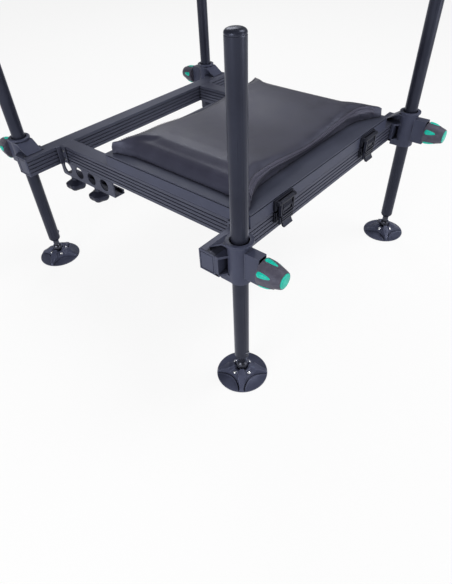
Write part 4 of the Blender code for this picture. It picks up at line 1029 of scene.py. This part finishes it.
# Seat cushion: foam in a coated cloth cover, saddle-shaped, stretched to the board's corners and drawn in
# between them. The cover is blown up a little by cloth simulation, as the foam does.
PAD_LOW = 0.2976
PAD_MIDDLE = (SEAT_FRONT - CROSS_FACE) / 2
PAD_HALF_WIDTH = SIDE_FACE - 0.004
PAD_HALF_DEPTH = (SEAT_FRONT + CROSS_FACE) / 2 - 0.004
# Ends and sides of the cushion: half length, distance from the middle, how far drawn in, points along it
PAD_EDGES = ((PAD_HALF_WIDTH, PAD_HALF_DEPTH, 0.030, 48), (PAD_HALF_DEPTH, PAD_HALF_WIDTH, 0.018, 36))
CORNER_BLEND = (0.006, 0.040)
EAR_RUN = 0.066
EAR_POWER = 1.6
EAR_PULL = 0.005
EAR_REACH = 0.035
CREST_HEIGHT = 0.030
MIDDLE_HEIGHT = 0.018
EDGE_HEIGHT = 0.020
CREST_INBOARD = 0.068
# From the board up to the crest: how far in from the outline and how high, at the ends and at the sides
END_ROLL = ((0.0085, -0.5), (0.0085, 0.0), (0.0075, 0.25), (0.0030, 0.46), (0.0, 0.66), (0.0008, 0.86),
            (0.0050, 1.0))
SIDE_ROLL = ((0.0, -0.5), (0.0, 0.0), (0.0002, 0.22), (0.0014, 0.44), (0.0044, 0.66), (0.0094, 0.84),
             (0.0180, 0.96))
TOP_RINGS = (0.10, 0.24, 0.42, 0.62, 0.82, 0.95)
VOXEL = 0.004
VOXEL_MERGE = 0.0016
HELD_LEVEL = PAD_LOW + 0.001
PUFF_START = 0.0012
PUFF_LIMIT = 0.0030
PUFF_PRESSURE = 4.0
PUFF_FRAMES = 20
COVER_CLOTH = ((0.025, 0.025, 0.042), (0.036, 0.036, 0.058))


def crest_height(x):
    """Height of the cushion's top above the board: low in the middle, a crest towards each side."""
    crest = SIDE_FACE - CREST_INBOARD
    if abs(x) < crest:
        climb = (1 - math.cos(math.pi * x / crest)) / 2
        return MIDDLE_HEIGHT + (CREST_HEIGHT - MIDDLE_HEIGHT) * climb
    share = (abs(x) - crest) / CREST_INBOARD
    return CREST_HEIGHT - (CREST_HEIGHT - EDGE_HEIGHT) * share * share


def pad_edge(number, run):
    """Spot on one of the four edges, with ears at the corners and the edge drawn in between them."""
    along, across, draw, steps = PAD_EDGES[number % 2]
    ear = max(0.0, 1 - (along - abs(run)) / EAR_RUN) ** EAR_POWER
    return Matrix.Rotation(math.pi / 2 * number, 2) @ Vector((run, across - draw * (1 - ear)))


def pad_outline():
    """Spots round the cushion, each with how much of a side rather than of an end it is."""
    spots = []
    for number in range(4):
        along, across, draw, steps = PAD_EDGES[number % 2]
        side = number % 2
        for i in range(steps):
            run = along * math.cos(math.pi * (i + 0.5) / steps)
            near_corner = 1 - smooth_step(*CORNER_BLEND, along - abs(run))
            spots.append((pad_edge(number, run), side + (0.5 - side) * near_corner))
    return spots


def pad_form():
    """Rings from the board up over the rolled sides and hemmed ends to the saddle's middle."""
    spots = pad_outline()
    bm = bmesh.new()
    loops = []
    crest = len(END_ROLL) - 1
    for middle, step in [(0, i) for i in range(crest + 1)] + [(share, crest) for share in TOP_RINGS]:
        ring = []
        for spot, side in spots:
            inset, rise = (at_end * (1 - side) + at_side * side
                           for at_end, at_side in zip(END_ROLL[step], SIDE_ROLL[step]))
            rise += (1 - rise) * min(1.0, middle * 6)
            x, y = (spot - spot.normalized() * inset) * (1 - middle)
            ring.append(bm.verts.new((x, PAD_MIDDLE + y, PAD_LOW + crest_height(x) * rise)))
        loops.append([bm.edges.new((ring[i - 1], ring[i])) for i in range(len(ring))])
    for lower, upper in zip(loops, loops[1:]):
        bmesh.ops.bridge_loops(bm, edges=lower + upper)
    bmesh.ops.contextual_create(bm, geom=loops[0])
    bmesh.ops.contextual_create(bm, geom=loops[-1])
    return to_mesh(bm, "pad")


def cover_finish(name, dark, pale):
    """Coated seat cloth: a fine leather-like grain with a soft sheen."""
    finish, tree, shader = new_finish(name)
    cells = texture(tree, "TexVoronoi", 900.0)
    clouds = texture(tree, "TexNoise", 30.0, Detail=5.0)
    pores = ramp(tree, cells, 0.25, 0.0, start=0.0, end=0.5)
    grain = mixed(tree, pores, ramp(tree, clouds, dark, pale), pale)
    # Creases and the joint with the board get painted shade
    paint(tree, shader, painted_crevice_shade(tree, grain, reach=0.012, strength=0.9), ramp(tree, clouds, 0.40, 0.50),
          cells, strength=0.25, depth=0.0003)
    feed(tree, shader.inputs["Specular IOR Level"], 0.45)
    feed(tree, shader.inputs["Sheen Weight"], 0.06)
    return finish


def with_modifier(name, mesh, kind):
    """A mesh in the scene with a modifier to set up."""
    item = bpy.data.objects.new(name, mesh)
    bpy.context.scene.collection.objects.link(item)
    return item, item.modifiers.new(name, kind)


def evaluated(item):
    """The mesh that comes out of an item's modifier; the item goes."""
    graph = bpy.context.evaluated_depsgraph_get()
    mesh = bpy.data.meshes.new_from_object(item.evaluated_get(graph))
    bpy.data.objects.remove(item)
    return mesh


def evened(mesh):
    """Even out a form into small soft quads and pull its four ears out."""
    item, voxels = with_modifier("voxels", mesh, 'REMESH')
    voxels.mode = 'VOXEL'
    voxels.voxel_size = VOXEL
    bm = bmesh.new()
    bm.from_mesh(evaluated(item))
    for _ in range(3):
        bmesh.ops.smooth_vert(bm, verts=bm.verts, factor=0.5, use_axis_x=True, use_axis_y=True,
                              use_axis_z=True)
    for vert in bm.verts:
        vert.co.z = max(vert.co.z, PAD_LOW)
    bmesh.ops.remove_doubles(bm, verts=bm.verts, dist=VOXEL_MERGE)
    middle = Vector((0, PAD_MIDDLE, 0))
    for vert in bm.verts:
        ear = Vector((math.copysign(PAD_HALF_WIDTH, vert.co.x),
                      math.copysign(PAD_HALF_DEPTH, vert.co.y - PAD_MIDDLE), 0))
        gap = (vert.co - ear - middle).to_2d().length
        vert.co += ear.normalized() * EAR_PULL * max(0.0, 1 - gap / EAR_REACH) ** 2
    return as_mesh(bm, "evened")


def puffed(mesh):
    """Swell a closed cover by cloth under pressure, with its base held on the board."""
    start = [vert.co.copy() for vert in mesh.vertices]
    for vert in mesh.vertices:
        if vert.co.z > HELD_LEVEL:
            vert.co -= vert.normal * PUFF_START
    item, cloth = with_modifier("puffed", mesh, 'CLOTH')
    held = item.vertex_groups.new(name="held")
    held.add([vert.index for vert in mesh.vertices if vert.co.z < HELD_LEVEL], 1.0, 'REPLACE')
    cloth.settings.use_pressure = True
    cloth.settings.uniform_pressure_force = PUFF_PRESSURE
    cloth.settings.effector_weights.gravity = 0.0
    cloth.settings.vertex_group_mass = "held"
    for number in range(PUFF_FRAMES):
        bpy.context.scene.frame_set(number + 1)
    swollen = evaluated(item)
    bpy.context.scene.frame_set(1)
    for vert, home in zip(swollen.vertices, start):
        move = vert.co - home
        if move.length > PUFF_LIMIT:
            vert.co = home + move.normalized() * PUFF_LIMIT
        vert.co.z = max(vert.co.z, PAD_LOW)
    return swollen


pad = evened(pad_form())
pad = puffed(pad)
skin = BVHTree.FromPolygons([vert.co.copy() for vert in pad.vertices],
                            [list(face.vertices) for face in pad.polygons])
cover = cover_finish("seat_cover", *COVER_CLOTH)
cushion = add_piece("cushion", [pad], cover, "frame", ["seat_pad"], crease=80)
smooth = cushion.modifiers.new("smooth", 'SUBSURF')
smooth.levels = smooth.render_levels = 1

# Cushion binding: a strip of the same coated cloth folded over the cushion's rear and front edges and sewn
# through with one row of thread along its upper side.
BINDING_STEPS = 220
BINDING_REACH = PAD_HALF_WIDTH - 0.012
BINDING_IN = 0.011
BINDING_DOWN = 0.0085
BINDING_MISS = 0.010
BINDING_LOW = PAD_LOW + 0.003
BINDING_THICK = 0.0006
# Across the strip: angle round the cushion's edge, and how far it stands off the cushion there
BINDING_ANGLES = (-26, -20, -8, 4, 14, 19, 24, 32, 42, 52, 60, 64)
BINDING_LIFTS = (-0.0014, 0.0004, 0.0008, 0.0009, 0.0005, -0.0008, 0.0005, 0.0008, 0.0008, 0.0007, 0.0005,
                 -0.0008)
SEAM_COLUMN = 10
SEAM_LIFT = 0.0012
STITCH_EVERY = 2
STITCH_RADIUS = 0.0005
# One stitch dips at both ends: share of its radius and of its length
STITCH_SHAPE = ((0, 0), (0.7, 0.06), (1, 0.25), (1, 0.75), (0.7, 0.94), (0, 1))
BINDING_CLOTH = ((0.044, 0.042, 0.064), (0.058, 0.055, 0.082))
THREAD = ((0.010, 0.010, 0.016), (0.018, 0.018, 0.026))


def edge_point(run, side):
    """Plan of the cushion's rear or front edge."""
    x, y = pad_edge(0, run)
    return Vector((x, PAD_MIDDLE + side * y, 0))


def edge_sections(side):
    """Rows of points on the cushion's skin round its edge, with the direction out of the skin."""
    sections = []
    for i in range(BINDING_STEPS + 1):
        run = -BINDING_REACH + 2 * BINDING_REACH * i / BINDING_STEPS
        ahead = (edge_point(run + 0.001, side) - edge_point(run - 0.001, side)).normalized()
        out = Vector((-ahead.y, ahead.x, 0)) * side
        spot = edge_point(run, side) - out * BINDING_IN
        top = skin.ray_cast(spot + Vector((0, 0, 0.4)), Vector((0, 0, -1)))[0]
        if top is None:
            continue
        spot.z = max(top.z - BINDING_DOWN, BINDING_LOW)
        row = []
        for angle in BINDING_ANGLES:
            a = math.radians(angle)
            way = out * math.cos(a) + Vector((0, 0, math.sin(a)))
            hit = skin.ray_cast(spot, way)[0]
            row.append((hit or spot + way * BINDING_MISS, way))
        sections.append(row)
    return sections


def eased(sections):
    """Let every point of a row take the mean of its own place and its two neighbours'."""
    run = sections[:1] + sections + sections[-1:]
    return [[(sum((near[j][0] for near in run[i:i + 3]), Vector()) / 3, way)
             for j, (spot, way) in enumerate(row)] for i, row in enumerate(sections)]


def binding_strip(sections):
    """Skin of the folded strip, a little proud of the cushion and tucked in along both edges."""
    bm = bmesh.new()
    rows = [[bm.verts.new(spot + way * lift) for (spot, way), lift in zip(row, BINDING_LIFTS)]
            for row in sections]
    for first, second in zip(rows, rows[1:]):
        for i in range(len(BINDING_ANGLES) - 1):
            bm.faces.new((first[i], first[i + 1], second[i + 1], second[i]))
    bmesh.ops.recalc_face_normals(bm, faces=bm.faces)
    bmesh.ops.solidify(bm, geom=bm.faces[:], thickness=BINDING_THICK)
    bmesh.ops.recalc_face_normals(bm, faces=bm.faces)
    return as_mesh(bm, "strip")


def stitch(first, second):
    """A short thread between two points of the seam."""
    ahead = second - first
    bar = turned([(STITCH_RADIUS * thick, along) for thick, along in STITCH_SHAPE], 6)
    facing = ahead.normalized().to_track_quat('Z', 'Y').to_matrix().to_4x4()
    return placed(bar, Matrix.Diagonal((1, 1, ahead.length, 1)), facing, shift(*first))


binding_cloth = cover_finish("binding_cloth", *BINDING_CLOTH)
thread = rubber_finish("thread", *THREAD, roughness=0.6, sheen=0.1)
for end, side in (("rear", -1), ("front", 1)):
    sections = eased(eased(eased(edge_sections(side))))
    add_piece("binding_" + end, [binding_strip(sections)], binding_cloth, "frame", crease=70)
    seam = [row[SEAM_COLUMN][0] + row[SEAM_COLUMN][1] * SEAM_LIFT for row in sections]
    stitches = [stitch(seam[i], seam[i + 1]) for i in range(0, len(seam) - 1, STITCH_EVERY)]
    add_piece("stitching_" + end, stitches, thread, "frame", crease=60)

# Footplate channels: folded anodised sheet screwed under the front of the side rails, with four large
# holes through the outer wall, weld nuts in the floor and a low inner lip.
CHANNEL_REAR = 0.079
CHANNEL_FRONT = 0.250
CHANNEL_LOW = 0.2035
CHANNEL_HIGH = 0.2367
CHANNEL_SHEET = 0.003
CHANNEL_INNER = 0.198
CHANNEL_OUTER = SIDE_FACE - 0.001
CHANNEL_CORNER = 0.006
CHANNEL_BEND = CHANNEL_FRONT - CHANNEL_CORNER
CHANNEL_EDGE = 0.0004
CHANNEL_SCREW = (0.004, 0.003)
CHANNEL_SCREW_X = 0.2085
CHANNEL_SCREWS = (0.128, 0.208)
HOLE_RADIUS = 0.0125
HOLE_LEVEL = 0.2222
HOLE_STEPS = 40
HOLES = (0.108, 0.148, 0.188, 0.228)
LIP_FRONT = 0.205
LIP_TOP = 0.2125
HAND_KNOBS = {"rear": 0.152, "front": 0.232}
HAND_KNOB_X = 0.210
NUT_HEIGHT = 0.008
# Weld nut: radius, and height above the channel's underside
NUT_SHAPE = ((0.0043, -0.008), (0.0070, -0.008), (0.0075, -0.0075), (0.0075, 0.001), (0.0043, 0.001),
             (0.0043, -0.008))


def circle(x, y):
    angles = [2 * math.pi * i / HOLE_STEPS for i in range(HOLE_STEPS)]
    return [(x + HOLE_RADIUS * math.cos(a), y + HOLE_RADIUS * math.sin(a)) for a in angles]


def channel_wall():
    """Outer wall in (along, up) with its front lower corner rounded off and the holes through it."""
    bend = [(CHANNEL_BEND + CHANNEL_CORNER * math.sin(math.radians(a)),
             CHANNEL_LOW + CHANNEL_CORNER * (1 - math.cos(math.radians(a)))) for a in range(0, 91, 15)]
    outline = [(CHANNEL_REAR, CHANNEL_LOW), *bend, (CHANNEL_FRONT, CHANNEL_HIGH), (CHANNEL_REAR, CHANNEL_HIGH)]
    holes = [circle(y, HOLE_LEVEL) for y in HOLES]
    return placed(prism(outline, SIDE_FACE - CHANNEL_SHEET, SIDE_FACE, holes), ON_SIDE)


def channel_shapes():
    """All forms of the right-hand channel: walls, floor, lip, top, nuts and screws."""
    ceiling = CHANNEL_HIGH - CHANNEL_SHEET
    low = (CHANNEL_INNER, CHANNEL_REAR, CHANNEL_LOW)
    shapes = [channel_wall(), block(low, (CHANNEL_OUTER, CHANNEL_BEND, CHANNEL_LOW + CHANNEL_SHEET)),
              block(low, (CHANNEL_INNER + CHANNEL_SHEET, LIP_FRONT, LIP_TOP)),
              block((CHANNEL_INNER, CHANNEL_REAR, ceiling), (CHANNEL_OUTER, CHANNEL_FRONT, CHANNEL_HIGH))]
    shapes += [placed(turned(NUT_SHAPE, 32), shift(HAND_KNOB_X, y, CHANNEL_LOW)) for y in HAND_KNOBS.values()]
    return shapes + [placed(socket_screw(*CHANNEL_SCREW), turn(180, 'X'), shift(CHANNEL_SCREW_X, y, ceiling))
                     for y in CHANNEL_SCREWS]


def other_side(mesh):
    """The left-hand twin of a right-hand shape."""
    bm = bmesh.new()
    bm.from_mesh(mesh)
    bmesh.ops.scale(bm, vec=(-1, 1, 1), verts=bm.verts)
    return to_mesh(bm, mesh.name)


channel_finish = anodised_finish("channel_sheet", ALONG_Y, gap=0.030)
for side in ("left", "right"):
    shapes = channel_shapes() if side == "right" else [other_side(shape) for shape in channel_shapes()]
    add_piece("channel_" + side, shapes, channel_finish, "frame", ["footplate_channel_" + side],
              CHANNEL_EDGE)

# Hand knobs: five-lobed mouldings on threaded studs that clamp the footplate in its channels.
HAND_KNOB_TOP = CHANNEL_LOW - NUT_HEIGHT - CLEARANCE
HAND_KNOB_RADIUS = 0.022
HAND_KNOB_HEIGHT = 0.024
LOBES = 5
LOBE_DEPTH = 0.16
# Stud and collar: radius and height
STUD_SHAPE = ((0, 0.0133), (0.0034, 0.0133), (0.004, 0.0127), (0.004, 0.0), (0.0066, 0.0), (0.0074, -0.0008),
              (0.0076, -0.0052))
# Grip from the collar down: shares of the knob's radius, of its height and of the lobes' full depth
LOBE_ROWS = ((0.50, 0.27, 0.4), (0.76, 0.37, 0.8), (0.93, 0.455, 1), (0.985, 0.49, 1), (1, 0.53, 1),
             (1, 0.76, 1), (0.985, 0.80, 1), (0.93, 0.88, 1), (0.86, 0.97, 1), (0.82, 1, 1), (0.60, 1, 0.6),
             (0.55, 0.96, 0.5), (0.30, 0.96, 0.2), (0, 0.96, 0))
KNOB_BLACK = ((0.014, 0.015, 0.026), (0.023, 0.025, 0.040), (0.11, 0.117, 0.155))


def lobed(share, height, lobes):
    """Rule of a row with a hollow between each two lobes."""
    def rule(angle):
        hollow = lobes * LOBE_DEPTH * (1 - math.cos(LOBES * angle)) / 2
        return HAND_KNOB_RADIUS * share * (1 - hollow), -HAND_KNOB_HEIGHT * height
    return rule


knob_black = moulded_finish("knob_black", *KNOB_BLACK, roughness=0.42)
for end, y in HAND_KNOBS.items():
    for side, sign in (("left", -1), ("right", 1)):
        name = "hand_knob_%s_%s" % (end, side)
        rows = [fixed(*row) for row in STUD_SHAPE] + [lobed(*row) for row in LOBE_ROWS]
        star = placed(shaped_turning(rows, 120), shift(sign * HAND_KNOB_X, y, HAND_KNOB_TOP))
        add_piece("star_" + name, [star], knob_black, name, [name], crease=50)

# Studio: a pale floor that keeps the shadow, a white surround, soft lamps and the camera.
FLOOR_RADIUS = 14.0
FLOOR_LEVEL = -0.0005
FLOOR_GLOW = 0.88
SKY_LOW = 0.30
SKY_HIGH = 0.10
WHITE = (1, 1, 1)
LAMP_AIM = Vector((0, 0, 0.2))
# Soft lamps: place, width and power
LAMPS = {"left_box": ((-2.2, -0.3, 0.95), 1.2, 31), "key_box": ((0.95, -1.1, 2.3), 1.3, 36),
         "right_box": ((0.6, -2.4, 0.5), 1.2, 16), "back_box": ((1.2, 1.5, 1.9), 1.2, 14)}
CAMERA_PLACE = (-0.67144, -0.60898, 0.67250)
CAMERA_YAW = math.radians(42.154)
CAMERA_PITCH = math.radians(42.757)
CAMERA_ROLL = math.radians(2.837)
CAMERA_LENS = 28.23

scene = bpy.context.scene
scene.view_settings.view_transform = 'Standard'
scene.world = bpy.data.worlds.new("surround")
scene.world.use_nodes = True
sky = scene.world.node_tree
upward = node(sky, "SeparateXYZ", {0: node(sky, "TexCoord").outputs["Generated"]}).outputs["Z"]
lit = sky.nodes["Background"]
feed(sky, lit.inputs["Color"], ramp(sky, upward, SKY_LOW, SKY_HIGH, start=0.05, end=0.75))
shown = node(sky, "Background", {"Color": WHITE})
seen = node(sky, "LightPath").outputs["Is Camera Ray"]
surround = node(sky, "MixShader", {0: seen, 1: lit.outputs[0], 2: shown.outputs[0]})
feed(sky, sky.nodes["World Output"].inputs["Surface"], surround.outputs[0])

paper, tree, shader = new_finish("white_paper")
feed(tree, shader.inputs["Base Color"], (0.9, 0.9, 0.9))
feed(tree, shader.inputs["Roughness"], 0.9)
rays = node(tree, "LightPath").outputs
seen = node(tree, "Math", {0: rays["Is Camera Ray"], 1: rays["Is Glossy Ray"]}, operation='MAXIMUM')
seen = node(tree, "Math", {0: seen.outputs[0], 1: rays["Is Transmission Ray"]}, operation='MAXIMUM')
share = node(tree, "Math", {0: seen.outputs[0], 1: FLOOR_GLOW}, operation='MULTIPLY')
glow = node(tree, "Emission", {"Color": WHITE})
blend = node(tree, "MixShader", {0: share.outputs[0], 1: shader.outputs[0], 2: glow.outputs[0]})
feed(tree, tree.nodes["Material Output"].inputs["Surface"], blend.outputs[0])
bm = bmesh.new()
bmesh.ops.create_circle(bm, cap_ends=True, segments=64, radius=FLOOR_RADIUS)
floor = bpy.data.objects.new("floor", as_mesh(bm, "floor"))
floor.location.z = FLOOR_LEVEL
floor.data.materials.append(paper)
scene.collection.objects.link(floor)

for name, (place, size, power) in LAMPS.items():
    lamp = bpy.data.lights.new(name, 'AREA')
    lamp.shape = 'DISK'
    lamp.size = size
    lamp.energy = power
    item = bpy.data.objects.new(name, lamp)
    item.location = place
    item.rotation_euler = (LAMP_AIM - Vector(place)).to_track_quat('-Z', 'Y').to_euler()
    scene.collection.objects.link(item)

level = Vector((math.sin(CAMERA_YAW), -math.cos(CAMERA_YAW), 0))
ahead = Vector((math.cos(CAMERA_PITCH) * math.cos(CAMERA_YAW), math.cos(CAMERA_PITCH) * math.sin(CAMERA_YAW),
                -math.sin(CAMERA_PITCH)))
down = ahead.cross(level)
across = level * math.cos(CAMERA_ROLL) + down * math.sin(CAMERA_ROLL)
below = down * math.cos(CAMERA_ROLL) - level * math.sin(CAMERA_ROLL)
camera = bpy.data.objects.new("camera", bpy.data.cameras.new("camera"))
camera.data.lens = CAMERA_LENS
camera.data.sensor_width = 36
camera.data.clip_start = 0.01
camera.matrix_world = Matrix((across, -below, -ahead)).transposed().to_4x4()
camera.matrix_world.translation = CAMERA_PLACE
scene.collection.objects.link(camera)
scene.camera = camera
